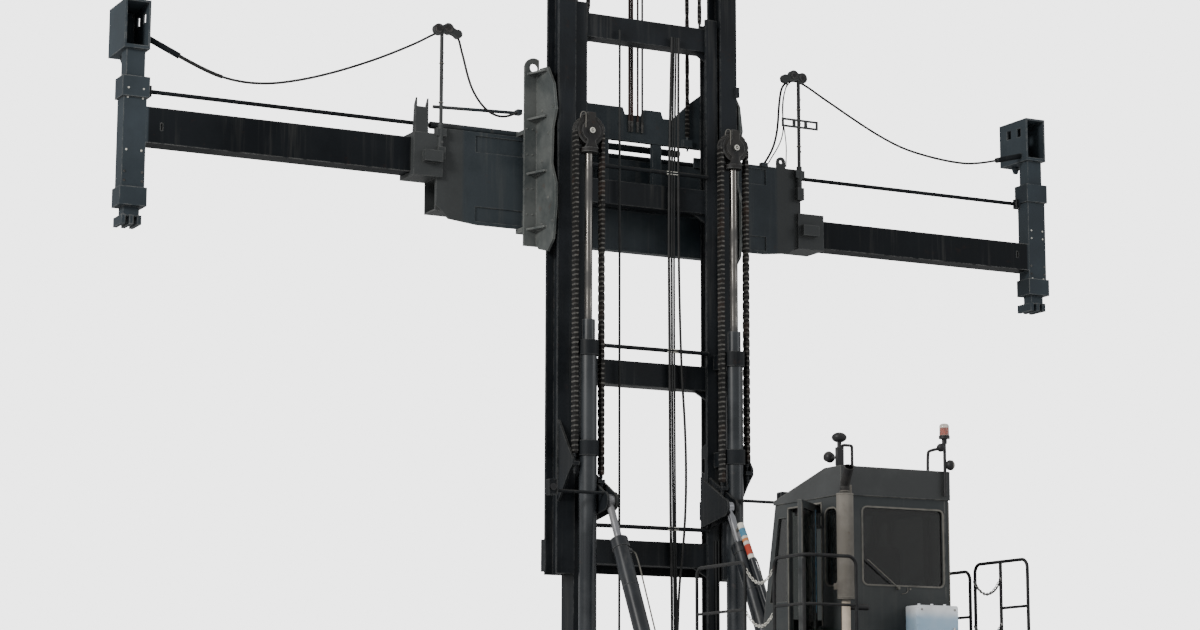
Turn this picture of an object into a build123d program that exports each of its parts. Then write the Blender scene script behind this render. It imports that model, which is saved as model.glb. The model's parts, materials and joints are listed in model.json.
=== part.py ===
from build123d import *
import math
import os

# Empty container handler: a mast truck with a side-lift telescopic spreader.
# Millimetres. +X to the machine's right, +Y forward, +Z up, ground at Z 0.
# All Y sizes below are taken from the rear face of the moving mast (the mast
# plane). Every piece is moved by -MIDDLE_Y when it is written, so that the
# origin lies on the ground under the middle of the whole machine.

# Mast
MAST_OUT = 1175            # half width over the moving mast
MOV_FLANGE = 220           # flange width of a moving mast post
MOV_DEPTH = 320
MOV_LOW = 4170             # lower end of the moving mast as it stands
MOV_LENGTH = 10390
MOV_TIE = 35
HEAD_BOX = 110             # height of the moving mast's head box
FIX_OUT = 940              # half width over the fixed mast
FIX_FLANGE = 155
FIX_BACK = 50              # rear face of the fixed posts
FIX_DEPTH = 300
FIX_LOW = 330
FIX_TOP = 10780
POST_WALL = 34
TIE_HEIGHT = 280
FIX_TIES = (660, 2330, 4300, 6350, 8440, 10390)
TIE_Y = (85, 300)
MAST_PIVOT = (-150, 750)   # Y and Z of the tilt pivot at the mast's foot
MAST_PIN_R = 55

# Lift cylinders, their sheaves and chains
CYL_X = 943
CYL_Y = -300
CYL_R = 100
ROD_R = 44
CYL_LOW = 2250
CYL_TOP = 6995
CYL_CLAMPS = ((2400, 2570), (5460, 5630), (6590, 6760))
ANCHOR_R = 14
LIFT_DOWN = 1850           # travel of the lift rods below where they stand
ROD_GUIDE = 450            # rod below the gland at the low stop
HEAD_Z = 8910              # underside of the head plate on the rod
SHEAVE_Z = 9155
SHEAVE_R = 165             # to the middle of the chain
LIFT_WIDE = 90             # lift chain over its link plates
LIFT_THICK = 44
LIFT_PITCH = 110
LINK_NOTCH = 9             # depth of the waists between links
CHEEK_R = 118              # round part of the head's cheek plates
CHEEK_Y = 66
ANCHOR_OUT_Z = 5480        # chain ends on the moving mast
ANCHOR_IN_Z = 5250         # chain ends on the fixed mast

# Tilt cylinders
TILT_X = 765
TILT_BASE = (-2100, 1850)
TILT_EYE = (-470, 4950)
TILT_R = 92
TILT_ROD_R = 42
TILT_BARREL = 3000         # from the base pin to the gland's face
TILT_PIN_R = 32
EAR_IN = 47
EYE_PLAY = 12              # play of the rod's eye about its pin
EAR_OUT = 71
EYE_R = 105
FIN_HIGH = 390             # the ear's upper edge on the post, over the eye
LAMP_BAR = (820, 1430)     # X of the work lamps' bars
LAMP_Z = 5035

# Carriage
CAR_PLATE_X = 1205         # inner face of the side plates
CAR_PLATE = 30
CAR_LOW = 7830
CAR_TOP = 10010
CAR_RIBS = (8110, 8760, 9400, 9940)
CAR_ROLLERS = (8160, 9490)
EYE_X = 1270               # lifting eye in the front wing
EYE_Z = 10030
LIFT_EYE_R = 52
CAR_REAR = -40
CAR_FRONT = 450            # rear face of the cross beams
CAR_BEAM = 120
CAR_WING = 1390
CAR_ANCHOR_Z = 9420
HOOK_GAP = 8
SHIFT_TOP = 9235           # top edge of the spreader frame's rails
SHIFT_LOW = 8150
SHIFT_STROKE = 300
CAR_CHAIN_X = 740
CAR_CHAIN_Y = 420
CAR_CHAIN_WIDE = 44
CAR_CHAIN_THICK = 26
CAR_PITCH = 250
TOP_SHEAVE_R = 150         # to the middle of the carriage chain

# Spreader
FRAME_HALF = 2420
FRAME_REAR = 640
ARM_DEPTH = 260
TUBE_WALL = 16
ARM_GAP = 6
LEFT_ARM = (8700, 9100)    # Z of the left arm beam, which runs in the upper tube
RIGHT_ARM = (8300, 8640)   # Z of the right arm beam, which runs in the lower tube
LOCK_X = 5970              # twist locks, 40 ft setting
LOCK_Y = 1090
LEG_WIDE = 260
LEG_DEPTH = 220
LEG_REAR = 660
LEG_LOW = 8190
LEG_TOP = 9760
HEAD_WIDE = 290
HEAD_DEPTH = 580
HEAD_LOW = 9730
HEAD_HIGH = 10280
ARM_STROKE = 3048          # 40 ft to 20 ft, each side
ROD_HELD = 130             # length of a telescope rod that stays in its barrel
POST_X = 2385              # hose posts
POST_Y = 580
POST_LOW = 8900
POST_HIGH = 10360
POST_R = 22
PIPE_Y = 612               # fixed pipe on the left of the frame
PIPE_R = 20
HOSE_R = 13
SLEEVE_R = 34

# Wheels and axles
DRIVE_Y = -1250
DRIVE_R = 690
DRIVE_TYRE = 365
DRIVE_X = (1418, 1848)     # middles of the twin tyres
STEER_Y = -5750
STEER_R = 600
STEER_TYRE = 320
STEER_X = 1010
KINGPIN_X = 740

# Chassis, deck and cab
RAIL_X = (560, 700)
CHASSIS_TOP = 1550
CHASSIS_LOW = 850
CHASSIS_REAR = -6900
DECK_Z = 2950
DECK_HALF = 1320
DECK_FRONT = -3330
DECK_REAR = -5470
SUPPORT_Y = (-3480, -5330)  # outriggers and pillars
LADDER_Y = (-4360, -4900)
LADDER_LOW = 700
RAIL_TOP = 3990
RAIL_MID = 3530
RAIL_R = 17
RAIL_LINE = 1300
GUARD_X = -565             # the roof lamp's guard: its left leg, width and height
GUARD_WIDE = 110
GUARD_HIGH = 200
HOOP_TOP = 4050            # the right side's rear hoop
HOOP_Y = (-5380, -4930, -4490)
HOOP_MID = 3590
SAG = 150                  # of the safety chains
CAB_HALF = 620
CAB_REAR = -5030
CAB_FRONT = -3450
CAB_FLOOR = 3010
CAB_EAVE = 4620
CAB_BROW = -3790           # Y of the windscreen's top edge
CAB_BREAK = (-4750, 4905)
CAB_ROOF = 4905
SEAT_GAP = 0.3             # between pieces that rest on each other
CAB_WALL = 45
COUNTER_REAR = -7150

# Points of the two spreader hoses, from the frame over the post to the arm's head
HOSE_ROUTES = {
    "left": (
        (-1420, 565, 9515), (-1520, 565, 9455), (-1665, 565, 9432), (-1800, 566, 9478),
        (-1915, 570, 9585), (-2005, 578, 9730), (-2060, 588, 9900), (-2098, 600, 10070),
        (-2128, 612, 10185), (-2150, 622, 10300), (-2197, 628, 10358), (-2265, 628, 10390),
        (-2340, 628, 10389), (-2474, 626, 10321), (-2627, 624, 10226), (-2781, 621, 10140),
        (-3098, 627, 9979), (-3424, 640, 9835), (-3755, 655, 9705), (-4094, 671, 9596),
        (-4441, 688, 9517), (-4796, 706, 9506), (-5141, 726, 9582), (-5455, 750, 9727),
    ),
    "right": (
        (1900, 600, 9257), (1965, 600, 9350), (2030, 600, 9470), (2078, 600, 9620),
        (2103, 600, 9790), (2115, 602, 9960), (2136, 610, 10100), (2165, 622, 10215),
        (2205, 628, 10284), (2266, 628, 10328), (2353, 628, 10350), (2442, 628, 10337),
        (2579, 626, 10276), (2746, 624, 10186), (2913, 622, 10104), (3252, 633, 9943),
        (3598, 648, 9795), (3954, 665, 9679), (4325, 684, 9625), (4699, 703, 9596),
        (5074, 725, 9605), (5427, 748, 9699),
    ),
}

MIDDLE_Y = (FRAME_REAR + HEAD_DEPTH + COUNTER_REAR) / 2


def block(x0, x1, y0, y1, z0, z1):
    """A box between two corners."""
    size = (abs(x1 - x0), abs(y1 - y0), abs(z1 - z0))
    return Pos((x0 + x1) / 2, (y0 + y1) / 2, (z0 + z1) / 2) * Box(*size)


def rod(start, end, radius):
    """A round bar from one point to another."""
    a = Vector(*start)
    b = Vector(*end)
    plane = Plane(origin=a, z_dir=(b - a).normalized())
    return extrude(plane * Circle(radius), (b - a).length)


def ring(start, end, outer, inner):
    """A tube from one point to another."""
    a = Vector(*start)
    b = Vector(*end)
    plane = Plane(origin=a, z_dir=(b - a).normalized())
    return extrude(plane * (Circle(outer) - Circle(inner)), (b - a).length)


def side_plate(points, x0, x1):
    """A plate with a Y-Z outline, between two X places."""
    wire = Polyline(*[(x0, y, z) for y, z in points], close=True)
    return extrude(Face(Wire(wire.edges())), x1 - x0, dir=(1, 0, 0))


def front_plate(points, y0, y1):
    """A plate with an X-Z outline, between two Y places."""
    wire = Polyline(*[(x, y0, z) for x, z in points], close=True)
    return extrude(Face(Wire(wire.edges())), y1 - y0, dir=(0, 1, 0))


def oval(x0, x1, y, z0, z1, radius):
    """An upright oval through a plate that lies in Y and Z."""
    shape = block(x0, x1, y - radius, y + radius, z0 + radius, z1 - radius)
    shape += rod((x0, y, z0 + radius), (x1, y, z0 + radius), radius)
    return shape + rod((x0, y, z1 - radius), (x1, y, z1 - radius), radius)


def mirrored(shape):
    """The same piece on the machine's other side."""
    return mirror(shape, about=Plane.YZ)


def both(shape):
    """A piece and its mirror image in one group."""
    return [shape, mirrored(shape)]


def write(name, pieces):
    """Write one node, moved to the shared frame."""
    if not isinstance(pieces, (list, tuple)):
        pieces = [pieces]
    solids = []
    for piece in pieces:
        solids += list(piece.solids())
    group = Compound(children=solids) if len(solids) > 1 else solids[0]
    group = Pos(0, -MIDDLE_Y, 0) * group
    os.makedirs("parts", exist_ok=True)
    export_step(group, f"parts/{name}.step")
    print(name, len(solids))


def i_post(x_in, x_out, y_back, depth, z0, z1):
    """An I section mast post with its web across X."""
    middle = (x_in + x_out) / 2
    post = block(x_in, x_out, y_back, y_back + POST_WALL, z0, z1)
    post += block(x_in, x_out, y_back + depth - POST_WALL, y_back + depth, z0, z1)
    post += block(middle - POST_WALL / 2, middle + POST_WALL / 2, y_back, y_back + depth, z0, z1)
    return post


def fixed_post(side):
    """A fixed post with its foot lug and what carries the cylinders and chain."""
    post_in = FIX_OUT - FIX_FLANGE
    post = block(post_in, FIX_OUT, FIX_BACK, FIX_BACK + POST_WALL, FIX_LOW, FIX_TOP)
    post += block(FIX_OUT - POST_WALL, FIX_OUT, FIX_BACK, FIX_BACK + FIX_DEPTH, FIX_LOW, FIX_TOP)
    lip = FIX_BACK + FIX_DEPTH
    post += block(FIX_OUT - 2 * POST_WALL, FIX_OUT, lip - 22, lip, FIX_LOW, FIX_TOP)
    lug_y, lug_z = MAST_PIVOT
    lug_r = 130
    lug = rod((post_in + 15, lug_y, lug_z), (FIX_OUT - 15, lug_y, lug_z), lug_r)
    lug += block(post_in + 15, FIX_OUT - 15, lug_y, FIX_BACK + 20, lug_z - lug_r, lug_z + lug_r)
    lug -= rod((post_in, lug_y, lug_z), (FIX_OUT, lug_y, lug_z), MAST_PIN_R)
    post += lug
    # brackets that hold each lift cylinder against its post
    for low, high in CYL_CLAMPS:
        bracket = block(CYL_X - 70, FIX_OUT, CYL_Y + 60, FIX_BACK + 5, low, high)
        bracket += rod((CYL_X, CYL_Y, low), (CYL_X, CYL_Y, high), CYL_R + 22)
        bracket -= rod((CYL_X, CYL_Y, low), (CYL_X, CYL_Y, high), CYL_R)
        post += bracket
    # seat under the cylinder
    post += block(CYL_X - CYL_R, FIX_OUT, CYL_Y - CYL_R, FIX_BACK + 5, CYL_LOW - 60, CYL_LOW)
    # ears and pin for the tilt cylinder's rod eye
    eye_y, eye_z = TILT_EYE
    fin = [
        (FIX_BACK + 5, eye_z - EYE_R - 90),
        (eye_y, eye_z - EYE_R),
        (eye_y, eye_z + EYE_R),
        (eye_y + 130, eye_z + EYE_R + 75),
        (FIX_BACK + 5, eye_z + FIN_HIGH),
    ]
    for x0, x1 in ((TILT_X - EAR_OUT, TILT_X - EAR_IN), (TILT_X + EAR_IN, TILT_X + EAR_OUT)):
        post += side_plate(fin, x0, x1)
        post += rod((x0, eye_y, eye_z), (x1, eye_y, eye_z), EYE_R)
    post += block(TILT_X - EAR_OUT, post_in + 20, FIX_BACK - 40, FIX_BACK + 30, eye_z - EYE_R, eye_z + EYE_R)
    post += rod((TILT_X - EAR_OUT, eye_y, eye_z), (TILT_X + EAR_OUT, eye_y, eye_z), TILT_PIN_R)
    # anchor of the inner chain
    chain_x = CYL_X - SHEAVE_R
    low = ANCHOR_IN_Z - 90
    post += block(chain_x - 30, chain_x + 55, CYL_Y - 45, FIX_BACK + 5, low, low + 40)
    post += anchor(chain_x, CYL_Y, low, ANCHOR_IN_Z)
    # slotted doubler on the post's inner edge
    doubler = side_plate(
        [(FIX_BACK, 4900), (FIX_BACK + 150, 4960), (FIX_BACK + 150, 5690), (FIX_BACK, 5750)],
        post_in,
        post_in + 12,
    )
    for z0 in (5080, 5400):
        doubler -= oval(post_in - 5, post_in + 20, FIX_BACK + 92, z0, z0 + 170, 32)
    post += doubler
    # work lamp on its bar beside the ear
    post += rod((LAMP_BAR[0], eye_y, LAMP_Z), (LAMP_BAR[1], eye_y, LAMP_Z), 18)
    lamp = block(LAMP_BAR[1] - 10, LAMP_BAR[1] + 100, eye_y - 45, eye_y + 40, LAMP_Z - 55, LAMP_Z + 125)
    lamp = fillet(lamp.edges().filter_by(Axis.Y), 22)
    lamp -= block(LAMP_BAR[1] + 4, LAMP_BAR[1] + 86, eye_y - 50, eye_y - 36, LAMP_Z - 41, LAMP_Z + 111)
    post += lamp
    return post if side > 0 else mirrored(post)


def anchor(x, y, low, high):
    """A chain's end bolt with its fork and lock nuts, through a plate at a height."""
    bolt = rod((x, y, low - 95), (x, y, high), ANCHOR_R)
    bolt += rod((x, y, low - 62), (x, y, low - 34), 24)
    bolt += rod((x, y, low - 30), (x, y, low + 5), 27)
    return bolt + rod((x, y, high - 34), (x, y, high), 21)


def fixed_ties():
    """Box ties between the fixed posts with corner gussets, and the hose guide bars."""
    post_in = FIX_OUT - FIX_FLANGE
    inner = FIX_OUT - POST_WALL
    pieces = []
    for z in FIX_TIES:
        tie = block(-inner, inner, TIE_Y[0], TIE_Y[1], z, z + TIE_HEIGHT)
        for side in (-1, 1):
            gusset = front_plate(
                [(side * inner, z + 1), (side * (post_in - 150), z + 1), (side * inner, z - 150)],
                TIE_Y[0] + 40,
                TIE_Y[0] + 70,
            )
            tie += gusset
        pieces.append(tie)
        bar_z = z + TIE_HEIGHT + 150
        if bar_z < FIX_TOP:
            y = FIX_BACK + POST_WALL / 2
            pieces.append(rod((-post_in, y, bar_z), (post_in, y, bar_z), POST_WALL / 2))
    # ends of the carriage chains on the top tie
    top = FIX_TIES[-1] + TIE_HEIGHT
    rear = CAR_CHAIN_Y - 2 * TOP_SHEAVE_R
    for side in (-1, 1):
        x = side * CAR_CHAIN_X
        pieces[-1 if bar_z >= FIX_TOP else -2] += rod((x, rear, top - 20), (x, rear, top + 60), ANCHOR_R)
    return pieces


def lift_barrels():
    """The two lift cylinder barrels with their glands."""
    barrel = rod((CYL_X, CYL_Y, CYL_LOW), (CYL_X, CYL_Y, CYL_TOP - 230), CYL_R)
    barrel += rod((CYL_X, CYL_Y, CYL_TOP - 230), (CYL_X, CYL_Y, CYL_TOP), CYL_R - 22)
    barrel -= rod((CYL_X, CYL_Y, CYL_LOW + 80), (CYL_X, CYL_Y, CYL_TOP), ROD_R + 0.08)
    return both(barrel)


def lift_rods():
    """The two lift cylinder rods."""
    foot = CYL_TOP - LIFT_DOWN - ROD_GUIDE
    return both(rod((CYL_X, CYL_Y, foot), (CYL_X, CYL_Y, HEAD_Z), ROD_R))


def lift_heads():
    """Head plates on the rods with their sheaves, and the chains over them."""
    bar = rod((CYL_X, CYL_Y, HEAD_Z), (CYL_X, CYL_Y, HEAD_Z + 50), 105)
    half = LIFT_WIDE / 2
    outline = [
        (CYL_X - 88, HEAD_Z + 45),
        (CYL_X + 88, HEAD_Z + 45),
        (CYL_X + 52, HEAD_Z + 105),
        (CYL_X + 52, SHEAVE_Z + 215),
        (CYL_X - 52, SHEAVE_Z + 215),
        (CYL_X - 52, HEAD_Z + 105),
    ]
    for side in (-1, 1):
        y = CYL_Y + side * CHEEK_Y
        bar += front_plate(outline, y - 11, y + 11)
        bar += rod((CYL_X, y - 11, SHEAVE_Z), (CYL_X, y + 11, SHEAVE_Z), CHEEK_R)
    bar += block(CYL_X - 52, CYL_X + 52, CYL_Y - CHEEK_Y, CYL_Y + CHEEK_Y, SHEAVE_Z + 192, SHEAVE_Z + 215)
    wheel_r = SHEAVE_R - LIFT_THICK / 2
    flange = half + 8
    wheel = rod((CYL_X, CYL_Y - flange, SHEAVE_Z), (CYL_X, CYL_Y + flange, SHEAVE_Z), wheel_r + 20)
    groove = half + 3
    wheel -= ring((CYL_X, CYL_Y - groove, SHEAVE_Z), (CYL_X, CYL_Y + groove, SHEAVE_Z), wheel_r + 30, wheel_r)
    bar += wheel
    pin_y = CHEEK_Y + 30
    bar += rod((CYL_X, CYL_Y - pin_y, SHEAVE_Z), (CYL_X, CYL_Y + pin_y, SHEAVE_Z), 34)
    wrap = half_wrap((CYL_X, CYL_Y, SHEAVE_Z), SHEAVE_R, LIFT_WIDE, LIFT_THICK, True)
    return both(bar) + both(wrap)


def link_outline(middle, thick, z0, z1, pitch):
    """Outline of a leaf chain seen along its pins: link plates with waists between them."""
    rows = round((z1 - z0) / pitch)
    step = (z1 - z0) / rows
    right = []
    for k in range(rows):
        low = z0 + k * step
        right += [
            (thick / 2 - LINK_NOTCH, low),
            (thick / 2, low + 0.22 * step),
            (thick / 2, low + 0.78 * step),
        ]
    right.append((thick / 2 - LINK_NOTCH, z1))
    left = [(-x, z) for x, z in reversed(right)]
    return [(middle + x, z) for x, z in right + left]


def lift_strand(x, z0, z1):
    """A lift chain strand beside its sheave; its pins lie along Y."""
    outline = link_outline(x, LIFT_THICK, z0, z1, LIFT_PITCH)
    return front_plate(outline, CYL_Y - LIFT_WIDE / 2, CYL_Y + LIFT_WIDE / 2)


def carriage_strand(y, z0, z1):
    """A carriage chain strand; its pins lie along X."""
    outline = link_outline(y, CAR_CHAIN_THICK, z0, z1, CAR_PITCH)
    return side_plate(outline, CAR_CHAIN_X - CAR_CHAIN_WIDE / 2, CAR_CHAIN_X + CAR_CHAIN_WIDE / 2)


def moving_post(side):
    """A moving post with the bracket that holds its lift chain."""
    post_in = MAST_OUT - MOV_FLANGE
    post = i_post(post_in, MAST_OUT, 0, MOV_DEPTH, MOV_LOW, MOV_LOW + MOV_LENGTH)
    chain_x = CYL_X + SHEAVE_R
    post += side_plate(
        [
            (10, ANCHOR_OUT_Z - 520),
            (CYL_Y + 60, ANCHOR_OUT_Z - 230),
            (CYL_Y - 50, ANCHOR_OUT_Z - 130),
            (CYL_Y - 50, ANCHOR_OUT_Z - 60),
            (10, ANCHOR_OUT_Z + 420),
        ],
        chain_x + 30,
        chain_x + 55,
    )
    low = ANCHOR_OUT_Z - 130
    post += block(chain_x - 40, chain_x + 40, CYL_Y - 45, 5, low, low + 40)
    post += anchor(chain_x, CYL_Y, low, ANCHOR_OUT_Z)
    if side > 0:
        # switch box beside the post
        post += block(MAST_OUT - 25, MAST_OUT + 22, -28, 8, 9860, 9980)
    return post if side > 0 else mirrored(post)


def moving_ties():
    """Foot tie and head box of the moving mast, with the carriage chain sheaves."""
    top = MOV_LOW + MOV_LENGTH
    y0 = MOV_DEPTH + 0.3
    y1 = CAR_CHAIN_Y - CAR_CHAIN_THICK / 2 - 8
    foot = block(-MAST_OUT, MAST_OUT, y1 - MOV_TIE, y1, MOV_LOW + 40, MOV_LOW + 400)
    head = block(-MAST_OUT, MAST_OUT, y1 - MOV_TIE, y1, top - 320, top + HEAD_BOX)
    for side in (-1, 1):
        x0, x1 = sorted((side * (MAST_OUT - MOV_FLANGE), side * MAST_OUT))
        foot += block(x0, x1, y0, y1 - 5, MOV_LOW + 40, MOV_LOW + 400)
        head += block(x0, x1, y0, y1 - 5, top - 320, top)
    head += block(-MAST_OUT, MAST_OUT, 150, y1, top + 0.3, top + HEAD_BOX)
    axis_z = top + HEAD_BOX + TOP_SHEAVE_R + 20
    axis_y = CAR_CHAIN_Y - TOP_SHEAVE_R
    for side in (-1, 1):
        x = side * CAR_CHAIN_X
        wheel_r = TOP_SHEAVE_R - CAR_CHAIN_THICK / 2
        groove = CAR_CHAIN_WIDE / 2 + 3
        flange = groove + 10
        wheel = rod((x - flange, axis_y, axis_z), (x + flange, axis_y, axis_z), wheel_r + 16)
        wheel -= ring((x - groove, axis_y, axis_z), (x + groove, axis_y, axis_z), wheel_r + 20, wheel_r)
        wheel += rod((x - 80, axis_y, axis_z), (x + 80, axis_y, axis_z), 40)
        head += wheel
        for dx in (-75, 57):
            head += block(x + dx, x + dx + 18, axis_y - 60, axis_y + 60, top + HEAD_BOX - 5, axis_z + 50)
    centre = (CAR_CHAIN_X, axis_y, axis_z)
    wrap = half_wrap(centre, TOP_SHEAVE_R, CAR_CHAIN_WIDE, CAR_CHAIN_THICK, False)
    return [foot, head] + both(wrap)


def carriage_side(side):
    """Side plate beside the mast with its front wing, ribs, rollers and hooks."""
    outline = [
        (CAR_REAR + 60, CAR_LOW + 120),
        (CAR_REAR + 200, CAR_LOW),
        (CAR_FRONT - 60, CAR_LOW + 60),
        (CAR_FRONT + 30, CAR_LOW + 160),
        (CAR_FRONT + 30, CAR_TOP - 120),
        (CAR_FRONT - 80, CAR_TOP),
        (CAR_REAR + 220, CAR_TOP - 20),
        (CAR_REAR + 60, CAR_TOP - 250),
        (CAR_REAR, CAR_TOP - 560),
        (CAR_REAR + 90, CAR_TOP - 760),
        (CAR_REAR + 110, CAR_TOP - 1180),
        (CAR_REAR, CAR_TOP - 1420),
        (CAR_REAR, CAR_LOW + 480),
    ]
    plate = side_plate(outline, CAR_PLATE_X, CAR_PLATE_X + CAR_PLATE)
    # front wing with the hooks and, in its domed top, the lifting eye
    dome = 118
    wing = block(CAR_PLATE_X, CAR_WING, CAR_FRONT, CAR_FRONT + 30, CAR_LOW + 100, EYE_Z + 20)
    wing += block(CAR_PLATE_X, EYE_X, CAR_FRONT, CAR_FRONT + 30, EYE_Z - 60, EYE_Z + 70)
    wing += rod((EYE_X, CAR_FRONT, EYE_Z), (EYE_X, CAR_FRONT + 30, EYE_Z), dome)
    wing -= rod((EYE_X, CAR_FRONT - 5, EYE_Z), (EYE_X, CAR_FRONT + 35, EYE_Z), LIFT_EYE_R)
    plate += wing - block(CAR_PLATE_X - 200, CAR_PLATE_X, CAR_FRONT - 5, CAR_FRONT + 35, CAR_TOP - 100, EYE_Z + 200)
    for z in CAR_RIBS:
        profile = Polyline(
            (CAR_PLATE_X + 10, CAR_FRONT + 10),
            (CAR_WING - 30, CAR_FRONT + 10),
            (CAR_PLATE_X + 60, CAR_REAR + 220),
            (CAR_PLATE_X + 10, CAR_REAR + 220),
            close=True,
        )
        plate += Pos(0, 0, z) * extrude(make_face(profile), 22)
    # rollers in the moving mast's outer channel
    web_out = MAST_OUT - MOV_FLANGE / 2 + POST_WALL / 2
    roller_y = MOV_DEPTH / 2
    roller_r = MOV_DEPTH / 2 - POST_WALL - 6
    for z in CAR_ROLLERS:
        plate += rod((web_out + 12, roller_y, z), (CAR_PLATE_X + 5, roller_y, z), roller_r)
    # hooks over and under the rails of the spreader frame
    hook_x = (CAR_WING - 130, CAR_WING)
    for z0, z1, tip0, tip1 in (
        (SHIFT_TOP + HOOK_GAP, SHIFT_TOP + HOOK_GAP + 50, SHIFT_TOP - 55, SHIFT_TOP + HOOK_GAP + 50),
        (SHIFT_LOW - SEAT_GAP - 50, SHIFT_LOW - SEAT_GAP, SHIFT_LOW - SEAT_GAP - 50, SHIFT_LOW + 60),
    ):
        tip_y = FRAME_REAR + HOOK_GAP
        plate += block(hook_x[0], hook_x[1], CAR_FRONT + 20, tip_y + 20, z0, z1)
        plate += block(hook_x[0], hook_x[1], tip_y, tip_y + 20, tip0, tip1)
    return plate if side > 0 else mirrored(plate)


def carriage_beams():
    """Cross beams between the side plates with uprights and chain anchors."""
    low = CAR_LOW + 150
    half = CAR_PLATE_X - 0.3
    body = block(-half, half, CAR_FRONT, CAR_FRONT + CAR_BEAM, low, low + 480)
    upper = [
        (-half, 9300),
        (half, 9300),
        (half, 9850),
        (1030, 9990),
        (985, 9990),
        (800, 9850),
        (560, 9620),
        (430, 9620),
        (400, 9700),
        (180, 9700),
        (150, 9620),
        (-80, 9620),
        (-110, 9700),
        (-560, 9700),
        (-800, 9850),
        (-985, 9990),
        (-1030, 9990),
        (-half, 9850),
    ]
    body += front_plate(upper, CAR_FRONT, CAR_FRONT + 60)
    for x in (-1050, -350, 350, 1050):
        body += block(x - 60, x + 60, CAR_FRONT + 10, CAR_FRONT + 70, low + 470, 9310)
    for side in (-1, 1):
        x = side * CAR_CHAIN_X
        body += block(x - 60, x + 60, CAR_CHAIN_Y - 13, CAR_FRONT + 10, CAR_ANCHOR_Z - 120, CAR_ANCHOR_Z - 30)
        body += rod((x, CAR_CHAIN_Y, CAR_ANCHOR_Z - 170), (x, CAR_CHAIN_Y, CAR_ANCHOR_Z), 12)
    return body


def hose_post(side):
    """A post on the frame with the cast head that guides the hose."""
    x = side * POST_X
    post = rod((x, POST_Y, POST_LOW), (x, POST_Y, POST_HIGH), POST_R)
    post += rod((x, POST_Y, POST_LOW), (x, POST_Y, SHIFT_TOP + 30), POST_R + 12)
    post += block(x - 45, x + 45, POST_Y - 40, FRAME_REAR + 5, POST_LOW - 50, POST_LOW + 100)
    post += block(x - 60, x + 60, POST_Y - 30, FRAME_REAR - 10, SHIFT_TOP - 110, SHIFT_TOP - 20)
    # lobes of the head, each with its roller's bore
    back = POST_Y - 30
    front = POST_Y + 30
    centres = ((side * (POST_X - 195), 10345), (side * (POST_X - 75), 10395), (side * (POST_X + 45), 10375))
    for k, (cx, cz) in enumerate(centres):
        post += rod((cx, back, cz), (cx, front, cz), 52 if k == 0 else 66)
    for (ax, az), (bx, bz) in zip(centres, centres[1:]):
        post += front_plate([(ax, az - 40), (bx, bz - 50), (bx, bz + 50), (ax, az + 40)], back, front)
    for cx, cz in centres[1:]:
        post -= rod((cx, back - 5, cz), (cx, front + 5, cz), 20)
    if side > 0:
        # slotted bracket across the right post
        bracket = block(x - 255, x + 255, POST_Y - 34, POST_Y - 20, 9740, 9850)
        for dx in (-165, 0, 165):
            bracket -= block(x + dx - 62, x + dx + 62, POST_Y - 40, POST_Y - 10, 9765, 9825)
        post += bracket
    return post


def hose(word):
    """A spreader hose as a tube of straight runs joined by arcs, and the arcs' radii."""
    points = [Vector(*p) for p in HOSE_ROUTES[word]]
    runs = [(b - a).length for a, b in zip(points, points[1:])]
    radii = []
    for k in range(1, len(points) - 1):
        turn = (points[k] - points[k - 1]).get_angle(points[k + 1] - points[k])
        radii.append(0.45 * min(runs[k - 1], runs[k]) / math.tan(math.radians(turn / 2)))
    path = FilletPolyline(*points, radius=radii)
    tube = sweep(Plane(origin=path @ 0, z_dir=path % 0) * Circle(HOSE_R), path)
    print(word, "hose", round(path.length), "mm, radii", [round(r) for r in radii])
    print("volume to section x length", round(tube.volume / (math.pi * HOSE_R ** 2 * path.length), 4))
    return tube


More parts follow.
